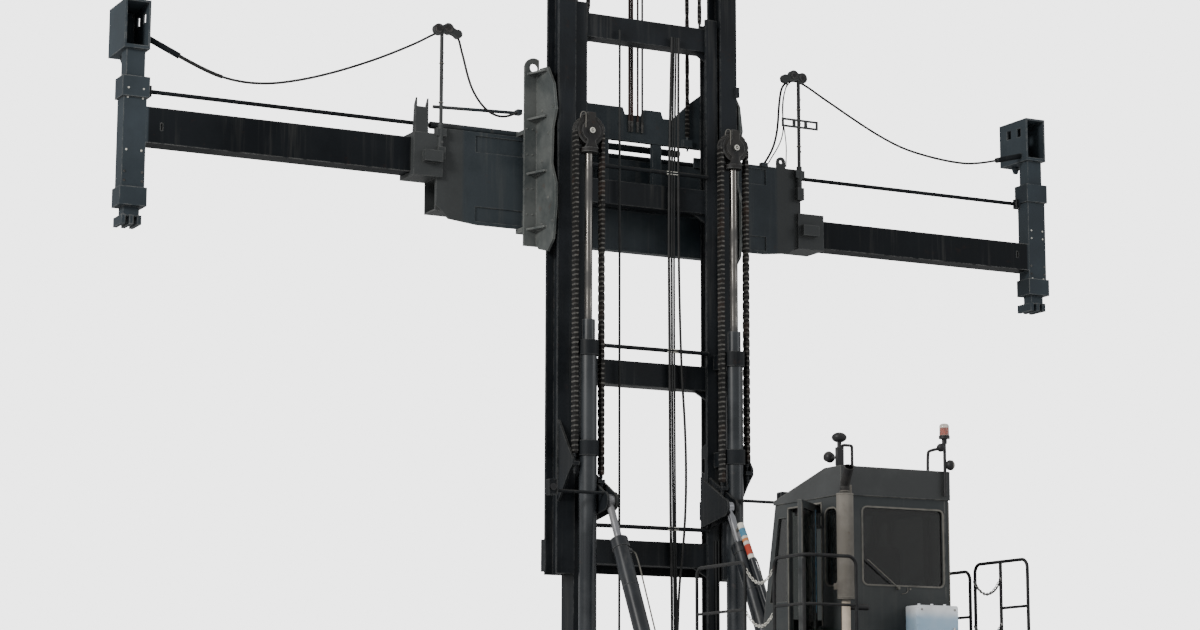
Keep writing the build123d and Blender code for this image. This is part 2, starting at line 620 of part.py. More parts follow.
def spreader_frame():
    """Two stacked tubes, side plates, guide castings, hose posts and barrels."""
    y0 = FRAME_REAR
    y1 = FRAME_REAR + ARM_DEPTH + 2 * (TUBE_WALL + ARM_GAP)
    body = None
    tubes = (LEFT_ARM, RIGHT_ARM)
    for low, high in tubes:
        edge = TUBE_WALL + ARM_GAP
        tube = block(-FRAME_HALF, FRAME_HALF, y0, y1, low - edge, high + edge)
        hollow = block(
            -FRAME_HALF - 10,
            FRAME_HALF + 10,
            y0 + TUBE_WALL,
            y1 - TUBE_WALL,
            low - ARM_GAP,
            high + ARM_GAP,
        )
        tube -= hollow
        body = tube if body is None else body + tube
    spacer_low = RIGHT_ARM[1] + TUBE_WALL + ARM_GAP
    spacer_high = LEFT_ARM[0] - TUBE_WALL - ARM_GAP
    for x in (-1800, -600, 600, 1800):
        body += block(x - 300, x + 300, y0, y1, spacer_low - 2, spacer_high + 2)
    # side plates over the tubes' rear faces
    for side in (-1, 1):
        plate = front_plate(
            [
                (side * 1310, SHIFT_LOW),
                (side * 1900, SHIFT_LOW),
                (side * 2260, 8190),
                (side * FRAME_HALF, 8330),
                (side * FRAME_HALF, SHIFT_TOP),
                (side * 1310, SHIFT_TOP),
            ],
            y0 - 28,
            y0 + 2,
        )
        recess = block(side * 1330, side * 1930, y0 - 30, y0 - 14, 9000, 9190)
        slot = block(side * 1330, side * 1930, y0 - 30, y0 - 14, 8190, 8360)
        body += plate - recess - slot
    # rails that the carriage's hooks hold
    rail_in = CAR_WING - 130 - SHIFT_STROKE - 20
    for side in (-1, 1):
        for z0, z1 in ((SHIFT_TOP - 120, SHIFT_TOP), (SHIFT_LOW, SHIFT_LOW + 140)):
            body += block(side * rail_in, side * 1320, y0 - 28, y0, z0, z1)
    # guide castings at the mouths of the tubes
    for side, (low, high) in ((-1, LEFT_ARM), (1, RIGHT_ARM)):
        x_in = side * (FRAME_HALF - 60)
        x_out = side * (FRAME_HALF + 300)
        casting = block(x_in, x_out, y0 - 70, y1 + 20, low - 50, high + 50)
        casting -= block(x_in - side * 10, x_out + side * 10, y0 + TUBE_WALL, y1 - TUBE_WALL,
                         low - ARM_GAP, high + ARM_GAP)
        casting += block(side * (FRAME_HALF - 30), side * (FRAME_HALF + 190), y0 - 150, y0 - 60,
                         low + 110, low + 240)
        body += casting
    for side in (-1, 1):
        body += hose_post(side)
    # pipe along the left of the frame, with the block that its hose leaves
    body += rod((-FRAME_HALF - 50, PIPE_Y, 9470), (-1400, PIPE_Y, 9515), PIPE_R)
    hose_x, hose_y, hose_z = HOSE_ROUTES["left"][0]
    body += block(hose_x - 10, hose_x + 50, hose_y - 17, PIPE_Y + 24, hose_z - 27, hose_z + 33)
    # upright ribs on the left casting
    left_top = LEFT_ARM[1] + 50
    for x in (-2700, -2560):
        body += side_plate(
            [(y0 - 60, left_top - 5), (y0 + 30, left_top - 5), (y0 - 10, left_top + 330), (y0 - 60, left_top + 400)],
            x,
            x + 20,
        )
    body += block(-2700, -2540, y0 - 60, y0 - 44, left_top - 5, left_top + 300)
    # eye plate and the hose's clamp on the right of the frame
    ear = block(2090, 2210, y0 - 28, y0, SHIFT_TOP - 5, SHIFT_TOP + 75)
    ear += rod((2150, y0 - 28, SHIFT_TOP + 75), (2150, y0, SHIFT_TOP + 75), 60)
    ear -= rod((2150, y0 - 30, SHIFT_TOP + 75), (2150, y0 + 5, SHIFT_TOP + 75), 24)
    body += ear
    hose_x, hose_y, hose_z = HOSE_ROUTES["right"][0]
    body += block(hose_x - 45, hose_x + 45, hose_y - 25, y0, SHIFT_TOP - 15, hose_z + 12)
    # fixed barrels of the telescope cylinders
    for side, z, y in ((-1, 9280, 720), (1, 9190, 860)):
        start = (side * (FRAME_HALF + 40), y, z)
        end = (side * (FRAME_HALF + 40 - ARM_STROKE - 200), y, z)
        barrel = rod(start, end, 42) - rod(start, (end[0] + side * 60, y, z), 24.08)
        body += barrel
        top = 9122 if z > 9200 else 9122
        for x in (side * (FRAME_HALF - 60), side * (FRAME_HALF - 1500)):
            body += block(x - 40, x + 40, y - 20, y + 20, top - 2, z - 30)
    return body


def arm(side):
    """A telescopic arm with its leg, twist lock head and foot."""
    low, high = LEFT_ARM if side < 0 else RIGHT_ARM
    y0 = FRAME_REAR + TUBE_WALL + ARM_GAP
    y1 = y0 + ARM_DEPTH
    leg_in = LOCK_X - LEG_WIDE / 2
    leg_out = LOCK_X + LEG_WIDE / 2
    inner_end = 1200
    beam = block(side * inner_end, side * (leg_in + 20), y0, y1, low, high)
    beam -= block(side * (inner_end - 5), side * (leg_in - 200), y0 + 14, y1 - 14, low + 14, high - 14)
    beam -= block(side * (leg_in - 190), side * (leg_in - 165), y0 - 5, y0 + 20, low + 150, low + 230)
    body = beam
    # leg
    body += block(side * leg_in, side * leg_out, LEG_REAR, LEG_REAR + LEG_DEPTH, LEG_LOW, 9200)
    body += block(side * (leg_in + 25), side * (leg_out - 25), LEG_REAR + 20, LEG_REAR + LEG_DEPTH - 20,
                  9190, LEG_TOP)
    collar = 24
    body += block(side * (leg_in - collar), side * (leg_out + collar), LEG_REAR - collar,
                  LEG_REAR + LEG_DEPTH + collar, 9190, 9420)
    body += block(side * (leg_in - collar), side * (leg_out + collar), LEG_REAR - collar,
                  LEG_REAR + LEG_DEPTH + collar, LEG_LOW - 200, LEG_LOW + 5)
    body += block(side * (leg_in + 40), side * (leg_out - 40), LEG_REAR + 30, LEG_REAR + LEG_DEPTH - 30,
                  LEG_LOW - 310, LEG_LOW - 195)
    # claws at the foot
    for dx in (-90, 0, 90):
        x = side * LOCK_X + dx
        body += block(x - 22, x + 22, LEG_REAR + 10, LEG_REAR + 300, LEG_LOW - 400, LEG_LOW - 300)
    # head box, open to the rear
    head_in = LOCK_X - HEAD_WIDE / 2
    head_out = LOCK_X + HEAD_WIDE / 2
    box = block(side * head_in, side * head_out, FRAME_REAR, FRAME_REAR + HEAD_DEPTH, HEAD_LOW, HEAD_HIGH)
    box -= block(side * (head_in + 22), side * (head_out - 22), FRAME_REAR - 10,
                 FRAME_REAR + HEAD_DEPTH - 60, HEAD_LOW + 40, HEAD_HIGH - 25)
    for dy, dz in ((120, 330), (330, 340)):
        y = FRAME_REAR + dy
        z = HEAD_LOW + dz
        box -= block(side * (head_in - 10), side * (head_in + 40), y, y + 90, z, z + 110)
    box -= rod((side * LOCK_X, LOCK_Y, HEAD_LOW - 10), (side * LOCK_X, LOCK_Y, HEAD_LOW + 60), 46)
    body += box
    # sleeve that takes the hose's end
    last = Vector(*HOSE_ROUTES["left" if side < 0 else "right"][-1])
    before = Vector(*HOSE_ROUTES["left" if side < 0 else "right"][-2])
    along = (last - before).normalized()
    reach = (side * (head_in + 10) - last.X) / along.X
    body += rod(last + along * SEAT_GAP, last + along * reach, SLEEVE_R)
    # rod of the telescope cylinder and its lug
    z, y = (9280, 720) if side < 0 else (9190, 860)
    reach = FRAME_HALF + 40 - ROD_HELD
    body += rod((side * reach, y, z), (side * (leg_in + 5), y, z), 24)
    body += block(side * (leg_in - 60), side * (leg_in + 5), y - 40, y + 40, z - 60, z + 60)
    return body


def twist_lock(side):
    """A twist lock: shank in the head's floor with its pointed head below."""
    x = side * LOCK_X
    shank_r = 45.95
    lock = rod((x, LOCK_Y, HEAD_LOW - 25), (x, LOCK_Y, HEAD_LOW + 110), shank_r)
    base = Pos(x, LOCK_Y, HEAD_LOW - 25) * RectangleRounded(104, 56, 26)
    tip = Pos(x, LOCK_Y, HEAD_LOW - 85) * RectangleRounded(60, 40, 18)
    lock += loft([base, tip])
    lock += block(x - 20, x + 20, LOCK_Y - 120, LOCK_Y + 20, HEAD_LOW + 70, HEAD_LOW + 100)
    return lock


def tyre(x, y, radius, width):
    """A tyre about an axle along X."""
    half = width / 2
    rim = radius * 0.5
    profile = Polyline(
        (-half * 0.72, rim),
        (half * 0.72, rim),
        (half * 0.78, rim + 15),
        (half, rim + (radius - rim) * 0.45),
        (half * 0.97, radius - 40),
        (half * 0.82, radius),
        (-half * 0.82, radius),
        (-half * 0.97, radius - 40),
        (-half, rim + (radius - rim) * 0.45),
        (-half * 0.78, rim + 15),
        close=True,
    )
    shape = revolve(make_face(profile), Axis.X, 360)
    return Pos(x, y, radius) * shape


def rim(x, y, radius, width, dish):
    """A steel rim with its disc, about an axle along X."""
    half = width / 2 * 0.70
    outer = radius * 0.5 - 0.3
    inner = outer - 22
    profile = Polyline(
        (-half, inner), (dish, inner), (dish, 60), (dish + 24, 60), (dish + 24, inner),
        (half, inner), (half, outer), (-half, outer), close=True,
    )
    shape = revolve(make_face(profile), Axis.X, 360)
    return Pos(x, y, radius) * shape


def drive_rims(side):
    """Twin rims on a common hub."""
    rims = None
    for x in DRIVE_X:
        dish = -60 if x == DRIVE_X[1] else 20
        piece = rim(side * x, DRIVE_Y, DRIVE_R, DRIVE_TYRE, side * dish - 12)
        rims = piece if rims is None else rims + piece
    hub = rod((side * 1250, DRIVE_Y, DRIVE_R), (side * 1900, DRIVE_Y, DRIVE_R), 190)
    bore = rod((side * 1240, DRIVE_Y, DRIVE_R), (side * 1500, DRIVE_Y, DRIVE_R), 100.08)
    return rims + hub - bore


def drive_axle():
    """Axle housing with its differential bulge and the hub spindles."""
    axle = rod((-1230, DRIVE_Y, DRIVE_R), (1230, DRIVE_Y, DRIVE_R), 160)
    axle += rod((-1480, DRIVE_Y, DRIVE_R), (1480, DRIVE_Y, DRIVE_R), 100)
    bulge = rod((-190, DRIVE_Y, DRIVE_R), (190, DRIVE_Y, DRIVE_R), 290)
    axle += chamfer(bulge.edges().filter_by(GeomType.CIRCLE), 110)
    for side in (-1, 1):
        axle += block(side * RAIL_X[0], side * RAIL_X[1], DRIVE_Y - 150, DRIVE_Y + 150, DRIVE_R, CHASSIS_LOW)
    return axle


def chassis_frame():
    """Side beams, cross members, mast brackets and tilt cylinder ears."""
    outline = [
        (MAST_PIVOT[0] - 330, CHASSIS_LOW + 100),
        (MAST_PIVOT[0] - 330, CHASSIS_TOP),
        (CHASSIS_REAR, CHASSIS_TOP),
        (CHASSIS_REAR, CHASSIS_TOP - 260),
        (-4850, CHASSIS_TOP - 260),
        (-4650, CHASSIS_LOW),
        (MAST_PIVOT[0] - 500, CHASSIS_LOW),
    ]
    beam = side_plate(outline, RAIL_X[0], RAIL_X[1])
    # arm that reaches forward to the mast's pivot
    py, pz = MAST_PIVOT
    arm_plate = side_plate(
        [(py - 360, CHASSIS_TOP - 200), (py - 20, pz + 140), (py + 110, pz + 60), (py + 110, pz - 60),
         (py - 20, pz - 130), (py - 360, CHASSIS_LOW + 60)],
        RAIL_X[1] - 60,
        RAIL_X[1],
    )
    beam += arm_plate
    beam += rod((RAIL_X[1] - 60, py, pz), (RAIL_X[1], py, pz), 130)
    beam += rod((RAIL_X[1] - 40, py, pz), (FIX_OUT - 10, py, pz), MAST_PIN_R - 0.08)
    # ears for the tilt cylinder's base
    by, bz = TILT_BASE
    for x0, x1 in ((TILT_X - 75, TILT_X - 48), (TILT_X + 48, TILT_X + 75)):
        beam += side_plate(
            [(by - 190, CHASSIS_TOP - 120), (by - 90, bz + 60), (by + 90, bz + 60), (by + 190, CHASSIS_TOP - 120)],
            x0,
            x1,
        )
    beam += block(RAIL_X[1] - 5, TILT_X + 75, by - 190, by + 190, CHASSIS_TOP - 160, CHASSIS_TOP - 110)
    beam += rod((TILT_X - 80, by, bz), (TILT_X + 80, by, bz), TILT_PIN_R)
    frame = beam + mirrored(beam)
    for y in (-900, -2700, -4500, -6700):
        frame += block(-RAIL_X[0] - 5, RAIL_X[0] + 5, y - 80, y + 80, CHASSIS_TOP - 240, CHASSIS_TOP - 20)
    for y in SUPPORT_Y:
        frame += block(-1150, 1150, y - 60, y + 60, CHASSIS_TOP - 120, CHASSIS_TOP)
    return frame


def deck_supports():
    """Pillars under the deck, and the two side ladders."""
    pieces = []
    for side in (-1, 1):
        for y in SUPPORT_Y:
            low = CHASSIS_TOP + SEAT_GAP
            pieces.append(block(side * 1050, side * 1150, y - 50, y + 50, low, DECK_Z - 14 - SEAT_GAP))
        ladder = None
        inner = side * (DECK_HALF + SEAT_GAP)
        outer = side * (DECK_HALF + 45)
        for y in LADDER_Y:
            rail = block(inner, outer, y - 20, y + 20, LADDER_LOW, DECK_Z)
            ladder = rail if ladder is None else ladder + rail
        for k in range(8):
            z = LADDER_LOW + 60 + k * 275
            ladder += block(inner, outer, LADDER_Y[1], LADDER_Y[0], z, z + 30)
        pieces.append(ladder)
    return pieces


def steer_axle():
    """Rear axle beam with its kingpin eyes and centre saddle."""
    z = STEER_R
    axle = block(-KINGPIN_X + 40, KINGPIN_X - 40, STEER_Y - 60, STEER_Y + 60, z - 90, z + 90)
    axle += block(-200, 200, STEER_Y - 130, STEER_Y + 130, z - 60, CHASSIS_TOP - 262)
    for side in (-1, 1):
        x = side * KINGPIN_X
        axle += rod((x, STEER_Y, z - 90), (x, STEER_Y, z + 90), 62)
    for side in (-1, 1):
        x = side * KINGPIN_X
        axle -= rod((x, STEER_Y, z - 100), (x, STEER_Y, z + 100), 32.08)
    axle += block(-RAIL_X[1], RAIL_X[1], STEER_Y - 100, STEER_Y + 100, 2 * STEER_R + 15, CHASSIS_TOP - 260 - SEAT_GAP)
    return axle


def knuckle(side):
    """Kingpin, fork and stub axle of a steered wheel."""
    z = STEER_R
    x = side * KINGPIN_X
    pin = rod((x, STEER_Y, z - 140), (x, STEER_Y, z + 140), 32)
    for dz in (-145, 97):
        pin += block(x - 60, x + 60, STEER_Y - 55, STEER_Y + 55, z + dz, z + dz + 48)
    plate = block(x + side * 68, x + side * 104, STEER_Y - 55, STEER_Y + 55, z - 145, z + 145)
    for dz in (-145, 97):
        plate += block(x + side * 55, x + side * 70, STEER_Y - 55, STEER_Y + 55, z + dz, z + dz + 48)
    stub = rod((x + side * 90, STEER_Y, z), (side * (STEER_X + 60), STEER_Y, z), 50)
    return pin + plate + stub


def steer_rim(side):
    """Rim and hub of a steered wheel."""
    piece = rim(side * STEER_X, STEER_Y, STEER_R, STEER_TYRE, side * 30 - 12)
    hub = rod((side * (KINGPIN_X + 130), STEER_Y, STEER_R), (side * (STEER_X + 110), STEER_Y, STEER_R), 110)
    hub -= rod((side * (KINGPIN_X + 120), STEER_Y, STEER_R), (side * (STEER_X + 65), STEER_Y, STEER_R), 50.08)
    return piece + hub


def counterweight():
    """Cast block behind and over the steer axle."""
    outline = [
        (-6560, 560), (COUNTER_REAR + 120, 560), (COUNTER_REAR, 800), (COUNTER_REAR, 2000),
        (COUNTER_REAR + 160, 2250), (-5650, 2250), (-5650, 1720), (-5800, CHASSIS_TOP + 0.5),
        (CHASSIS_REAR - 0.5, CHASSIS_TOP + 0.5), (CHASSIS_REAR - 0.5, 1280), (-6560, 1280),
    ]
    weight = side_plate(outline, -1230, 1230)
    edges = weight.edges().filter_by(Axis.Z)
    weight = chamfer([e for e in edges if e.center().Y < COUNTER_REAR + 10], 140)
    for side in (-1, 1):
        weight -= rod((side * 600, COUNTER_REAR - 10, 1500), (side * 600, COUNTER_REAR + 60, 1500), 60)
    return weight


def engine_hood():
    """Open-bottomed cover over the engine with louvred sides."""
    x = 540
    y0, y1 = -5600, -2900
    hood = block(-x, x, y0, y1, CHASSIS_TOP + 0.5, 2700)
    hood -= block(-x + 30, x - 30, y0 + 30, y1 - 30, CHASSIS_TOP - 10, 2670)
    for k in range(8):
        y = y0 + 500 + k * 110
        for side in (-1, 1):
            hood -= block(side * (x - 15), side * (x + 10), y, y + 50, 1900, 2450)
    return hood


def cab_profile(inset, z_low):
    """Y-Z outline of the cab's side."""
    return [
        (CAB_REAR + inset, z_low),
        (CAB_FRONT - inset, z_low),
        (CAB_BROW - inset, CAB_EAVE),
        (CAB_REAR + inset, CAB_EAVE),
    ]


def rounded_window(y0, y1, z0, z1, x0, x1, radius):
    """A rounded cut-out in a side wall."""
    shape = Plane.YZ * Pos((y0 + y1) / 2, (z0 + z1) / 2) * RectangleRounded(y1 - y0, z1 - z0, radius)
    return Pos(x0, 0, 0) * extrude(shape, x1 - x0, dir=(1, 0, 0))


def rear_window_shape(x0, x1, z0, z1, y0, y1, radius):
    """A rounded cut-out in the rear wall."""
    shape = Plane.XZ * Pos((x0 + x1) / 2, (z0 + z1) / 2) * RectangleRounded(x1 - x0, z1 - z0, radius)
    return Pos(0, y0, 0) * extrude(shape, y1 - y0, dir=(0, 1, 0))


DOOR_Y = (-4650, -4050)
DOOR_Z = (CAB_FLOOR + 40, 4560)
SIDE_WINDOW = (-4950, -4735, 3760, 4500)
QUARTER = (-4000, -3860)
REAR_WINDOW = (-380, 585, 3770, 4510)
DOOR_OPEN = 134
HINGE_Z = (3250, 4350)
HINGE_TALL = 90
HINGE_PIN_R = 8
DOOR_HINGE = (-CAB_HALF - 22, DOOR_Y[0] + 6)


def windscreen_y(z):
    """Y of the windscreen's plane at a height."""
    share = (z - CAB_FLOOR) / (CAB_EAVE - CAB_FLOOR)
    return CAB_FRONT + share * (CAB_BROW - CAB_FRONT)


def cab_side(side):
    """A side wall with its windows, and the doorway on the left."""
    x0, x1 = (-CAB_HALF, -CAB_HALF + CAB_WALL) if side < 0 else (CAB_HALF - CAB_WALL, CAB_HALF)
    wall = side_plate(cab_profile(0, CAB_FLOOR), x0, x1)
    y0, y1, z0, z1 = SIDE_WINDOW
    wall -= rounded_window(y0, y1, z0, z1, x0 - 5, x1 + 5, 70)
    if side < 0:
        wall -= block(x0 - 5, x1 + 5, DOOR_Y[0], DOOR_Y[1], DOOR_Z[0], DOOR_Z[1])
        hx, hy = DOOR_HINGE
        for z in HINGE_Z:
            for low in (z - 32, z + HINGE_TALL + 0.5):
                wall += rod((hx, hy, low), (hx, hy, low + 31.5), 16)
                wall += block(hx, x0 + 10, hy - 34, hy - 8, low, low + 31.5)
            wall += rod((hx, hy, z - 10), (hx, hy, z + HINGE_TALL + 10), HINGE_PIN_R)
    else:
        wall -= rounded_window(DOOR_Y[0], DOOR_Y[1], 3700, 4500, x0 - 5, x1 + 5, 60)
    wall -= side_plate(
        [(QUARTER[0], 3650), (windscreen_y(3650) - 90, 3650), (windscreen_y(4480) - 90, 4480),
         (QUARTER[0], 4480)],
        x0 - 5,
        x1 + 5,
    )
    return wall


def cab_rear():
    """Rear wall with the big window."""
    inner = CAB_HALF - CAB_WALL - 0.3
    wall = block(-inner, inner, CAB_REAR, CAB_REAR + CAB_WALL, CAB_FLOOR, CAB_EAVE)
    x0, x1, z0, z1 = REAR_WINDOW
    x1 = min(x1, inner - 30)
    wall -= rear_window_shape(x0, x1, z0, z1, CAB_REAR - 5, CAB_REAR + CAB_WALL + 5, 45)
    return wall


def cab_front():
    """Windscreen frame, leaning back to the roof."""
    inner = CAB_HALF - CAB_WALL - 0.3
    wall = side_plate(
        [(CAB_FRONT - CAB_WALL, CAB_FLOOR), (CAB_FRONT, CAB_FLOOR), (CAB_BROW, CAB_EAVE),
         (CAB_BROW - CAB_WALL, CAB_EAVE)],
        -inner,
        inner,
    )
    wall -= block(-inner + 50, inner - 50, CAB_FRONT - 600, CAB_FRONT + 50, 3500, 4560)
    return wall


def cab_roof():
    """Hollow roof cap, slightly proud of the walls, sloping to the front."""
    proud = 14
    outer = [
        (CAB_REAR - proud, CAB_EAVE + 0.3),
        (CAB_BROW + proud, CAB_EAVE + 0.3),
        (CAB_BROW + proud, CAB_EAVE + 40),
        CAB_BREAK,
        (CAB_REAR - proud, CAB_ROOF),
    ]
    roof = side_plate(outer, -CAB_HALF - proud, CAB_HALF + proud)
    inner = [
        (CAB_REAR + 30, CAB_EAVE - 10),
        (CAB_BROW - 60, CAB_EAVE - 10),
        (CAB_BREAK[0], CAB_BREAK[1] - 45),
        (CAB_REAR + 30, CAB_ROOF - 45),
    ]
    roof -= side_plate(inner, -CAB_HALF + 30, CAB_HALF - 30)
    return roof


def cab_glass():
    """Panes of the fixed windows."""
    t = 6
    inner = CAB_HALF - CAB_WALL - 0.3
    x0, x1, z0, z1 = REAR_WINDOW
    x1 = min(x1, inner - 30)
    mid = CAB_REAR + CAB_WALL / 2
    panes = [rear_window_shape(x0 + 0.3, x1 - 0.3, z0 + 0.3, z1 - 0.3, mid - t / 2, mid + t / 2, 44)]
    y0, y1, z0, z1 = SIDE_WINDOW
    for side in (-1, 1):
        x = side * (CAB_HALF - CAB_WALL / 2)
        panes.append(rounded_window(y0 + 0.3, y1 - 0.3, z0 + 0.3, z1 - 0.3, x - t / 2, x + t / 2, 69))
        panes.append(
            side_plate(
                [(QUARTER[0] + 0.3, 3650.3), (windscreen_y(3650) - 90.5, 3650.3),
                 (windscreen_y(4480) - 90.5, 4479.7), (QUARTER[0] + 0.3, 4479.7)],
                x - t / 2,
                x + t / 2,
            )
        )
    x = CAB_HALF - CAB_WALL / 2
    panes.append(rounded_window(DOOR_Y[0] + 0.3, DOOR_Y[1] - 0.3, 3700.3, 4499.7, x - t / 2, x + t / 2, 59))
    shift = CAB_WALL / 2
    panes.append(
        side_plate(
            [(windscreen_y(3500) - shift - t / 2, 3500.3), (windscreen_y(3500) - shift + t / 2, 3500.3),
             (windscreen_y(4560) - shift + t / 2, 4559.7), (windscreen_y(4560) - shift - t / 2, 4559.7)],
            -inner + 50.3,
            inner - 50.3,
        )
    )
    return panes


def door_leaf():
    """Door modelled shut, then swung open about its rear edge."""
    x0, x1 = -CAB_HALF - 2, -CAB_HALF + CAB_WALL - 8
    leaf = block(x0, x1, DOOR_Y[0] + 6, DOOR_Y[1] - 12, DOOR_Z[0] + 6, DOOR_Z[1] - 6)
    leaf -= rounded_window(DOOR_Y[0] + 70, DOOR_Y[1] - 70, 3300, 4480, x0 - 5, x1 + 5, 50)
    return leaf


def swing(shape):
    """Turn a piece with the open door."""
    hinge_x, hinge_y = DOOR_HINGE
    return Pos(hinge_x, hinge_y, 0) * Rot(0, 0, DOOR_OPEN) * Pos(-hinge_x, -hinge_y, 0) * shape



def cab_door():
    """Door leaf with its two hinge knuckles."""
    leaf = door_leaf()
    hx, hy = DOOR_HINGE
    for z in HINGE_Z:
        leaf += rod((hx, hy, z), (hx, hy, z + HINGE_TALL), 16)
        leaf += block(hx, -CAB_HALF + 5, hy, hy + 16, z, z + HINGE_TALL)
    for z in HINGE_Z:
        leaf -= rod((hx, hy, z - 5), (hx, hy, z + HINGE_TALL + 5), HINGE_PIN_R + 0.07)
    return swing(leaf)


def door_glass():
    """Pane of the door."""
    x = -CAB_HALF + 16
    pane = rounded_window(DOOR_Y[0] + 70.3, DOOR_Y[1] - 70.3, 3300.3, 4479.7, x - 3, x + 3, 49)
    return swing(pane)


def deck():
    """Tread plate on its edge frame, with the plinth under the cab."""
    floor = block(-DECK_HALF, DECK_HALF, DECK_REAR, DECK_FRONT, DECK_Z - 14, DECK_Z)
    for y in (DECK_REAR + 30, DECK_FRONT - 30, (DECK_REAR + DECK_FRONT) / 2):
        floor += block(-DECK_HALF, DECK_HALF, y - 30, y + 30, DECK_Z - 90, DECK_Z - 10)
    for x in (-DECK_HALF + 30, DECK_HALF - 30):
        floor += block(x - 30, x + 30, DECK_REAR, DECK_FRONT, DECK_Z - 90, DECK_Z - 10)
    # plinth under the cab
    plinth = block(-CAB_HALF + 20, CAB_HALF - 20, CAB_REAR + 20, CAB_FRONT - 20, DECK_Z - 5, CAB_FLOOR - SEAT_GAP)
    floor += plinth - block(-CAB_HALF + 80, CAB_HALF - 80, CAB_REAR + 80, CAB_FRONT - 80, DECK_Z, CAB_FLOOR)
    return floor


def rail_run(points):
    """A bent handrail tube along a route."""
    radii = 90
    path = FilletPolyline(*points, radius=radii)
    profile = Plane(origin=path @ 0, z_dir=path % 0) * Circle(RAIL_R)
    return sweep(profile, path)


def safety_chain(x, y0, y1, z):
    """A chain that sags between two posts, as a slack bar."""
    path = ThreePointArc((x, y0, z), (x, (y0 + y1) / 2, z - SAG), (x, y1, z))
    return sweep(Plane(origin=path @ 0, z_dir=path % 0) * Circle(RAIL_R / 2), path)


def deck_rails():
    """Tube handrails round the deck; the right one ends in a hoop with safety chains."""
    pieces = []
    thin = RAIL_R - 3
    for side, rear_y in ((-1, -4340), (1, -4400)):
        x = side * RAIL_LINE
        loop = rail_run([(x, -3390, DECK_Z), (x, -3390, RAIL_TOP), (x, rear_y, RAIL_TOP), (x, rear_y, DECK_Z)])
        loop += rod((x, -3390, RAIL_MID), (x, rear_y, RAIL_MID), thin)
        pieces.append(loop)
    x = -RAIL_LINE
    inner = -720
    corner = rail_run([(x, -4890, DECK_Z), (x, -4890, RAIL_TOP), (x, -5430, RAIL_TOP),
                       (inner, -5430, RAIL_TOP), (inner, -5430, DECK_Z)])
    corner += rod((x, -4890, RAIL_MID), (x, -5430, RAIL_MID), thin)
    corner += rod((x, -5430, RAIL_MID), (inner, -5430, RAIL_MID), thin)
    corner += rod((x, -5430, DECK_Z), (x, -5430, RAIL_TOP - 30), RAIL_R)
    pieces.append(corner)
    x = RAIL_LINE
    rear, middle, front = HOOP_Y
    hoop = rail_run([(x, front, DECK_Z), (x, front, HOOP_TOP), (x, rear, HOOP_TOP), (x, rear, DECK_Z)])
    hoop += rod((x, middle, DECK_Z), (x, middle, HOOP_TOP - 5), RAIL_R)
    hoop += rod((x, rear, HOOP_MID), (x, middle, HOOP_MID), thin)
    for z in (HOOP_MID + 2 * SAG, HOOP_MID - SAG):
        hoop += safety_chain(x, middle, front, z)
    pieces.append(hoop)
    return pieces


def exhaust():
    """Upright silencer behind the cab with its bent tail pipe."""
    x, y = -700, -5215
    pipe = rod((x, y, 3600), (x, y, 4610), 82)
    pipe += rod((x, y, DECK_Z + SEAT_GAP), (x, y, 3605), 42)
    pipe += rod((x, y, 4605), (x, y, 4700), 42)
    tail = ring((x, y, 4690), (x - 30, y - 130, 4850), 44, 38)
    pipe += rod((x, y, 4690), (x - 5, y - 20, 4715), 42)
    pipe += tail
    pipe += block(x - 20, x + 20, y + 60, CAB_REAR - 0.5, 3700, 3760)
    return pipe


def control_cabinet():
    """Electric cabinet on the cab's rear wall."""
    box = block(100, 560, CAB_REAR - 221, CAB_REAR - 0.5, DECK_Z + 60, 3570)
    box = fillet(box.edges().filter_by(Axis.Y), 20)
    for k in range(3):
        box += rod((180 + k * 150, CAB_REAR - 110, 3565), (180 + k * 150, CAB_REAR - 110, 3590), 14)
    # bolted flange along the left edge
    box += block(72, 105, CAB_REAR - 222, CAB_REAR - 206, DECK_Z + 90, 3540)
    for k in range(6):
        z = DECK_Z + 130 + k * 76
        box += rod((88, CAB_REAR - 230, z), (88, CAB_REAR - 215, z), 8)
    return box


def guard(x, y, z):
    """A bent rod hoop that guards a lamp."""
    high = z + GUARD_HIGH
    far = x + GUARD_WIDE
    path = FilletPolyline((x, y, z), (x, y, high), (far, y, high), (far, y, z), radius=40)
    return sweep(Plane(origin=path @ 0, z_dir=path % 0) * Circle(9), path)


def roof_lamps():
    """Lamp posts at the rear corners of the roof with lamps and a beacon."""
    z = CAB_ROOF
    left = rod((-600, CAB_REAR + 60, z + 0.3), (-600, CAB_REAR + 60, z + 260), 14)
    left += rod((-600, CAB_REAR + 60, z + 240), (-600, CAB_REAR + 60, z + 320), 55)
    left += rod((-600, CAB_REAR + 60, z + 90), (-600, CAB_REAR + 220, z + 90), 12)
    left += rod((-600, CAB_REAR + 200, z + 90), (-600, CAB_REAR + 270, z + 120), 52)
    left += block(-614, GUARD_X + GUARD_WIDE + 20, CAB_REAR + 46, CAB_REAR + 74, z + SEAT_GAP, z + 14)
    left += guard(GUARD_X, CAB_REAR + 60, z + 5)
    right = rod((560, CAB_REAR - 40, z - 250), (560, CAB_REAR - 40, z + 330), 16)
    right += block(544, 576, CAB_REAR - 50, CAB_REAR - 14.5, z - 240, z - 190)
    right += rod((560, CAB_REAR - 40, z + 320), (560, CAB_REAR - 40, z + 350), 55)
    right += rod((490, CAB_REAR - 40, z + 230), (570, CAB_REAR - 40, z + 230), 40)
    right += rod((560, CAB_REAR - 40, z + 60), (640, CAB_REAR - 60, z + 60), 50)
    return [left, right]


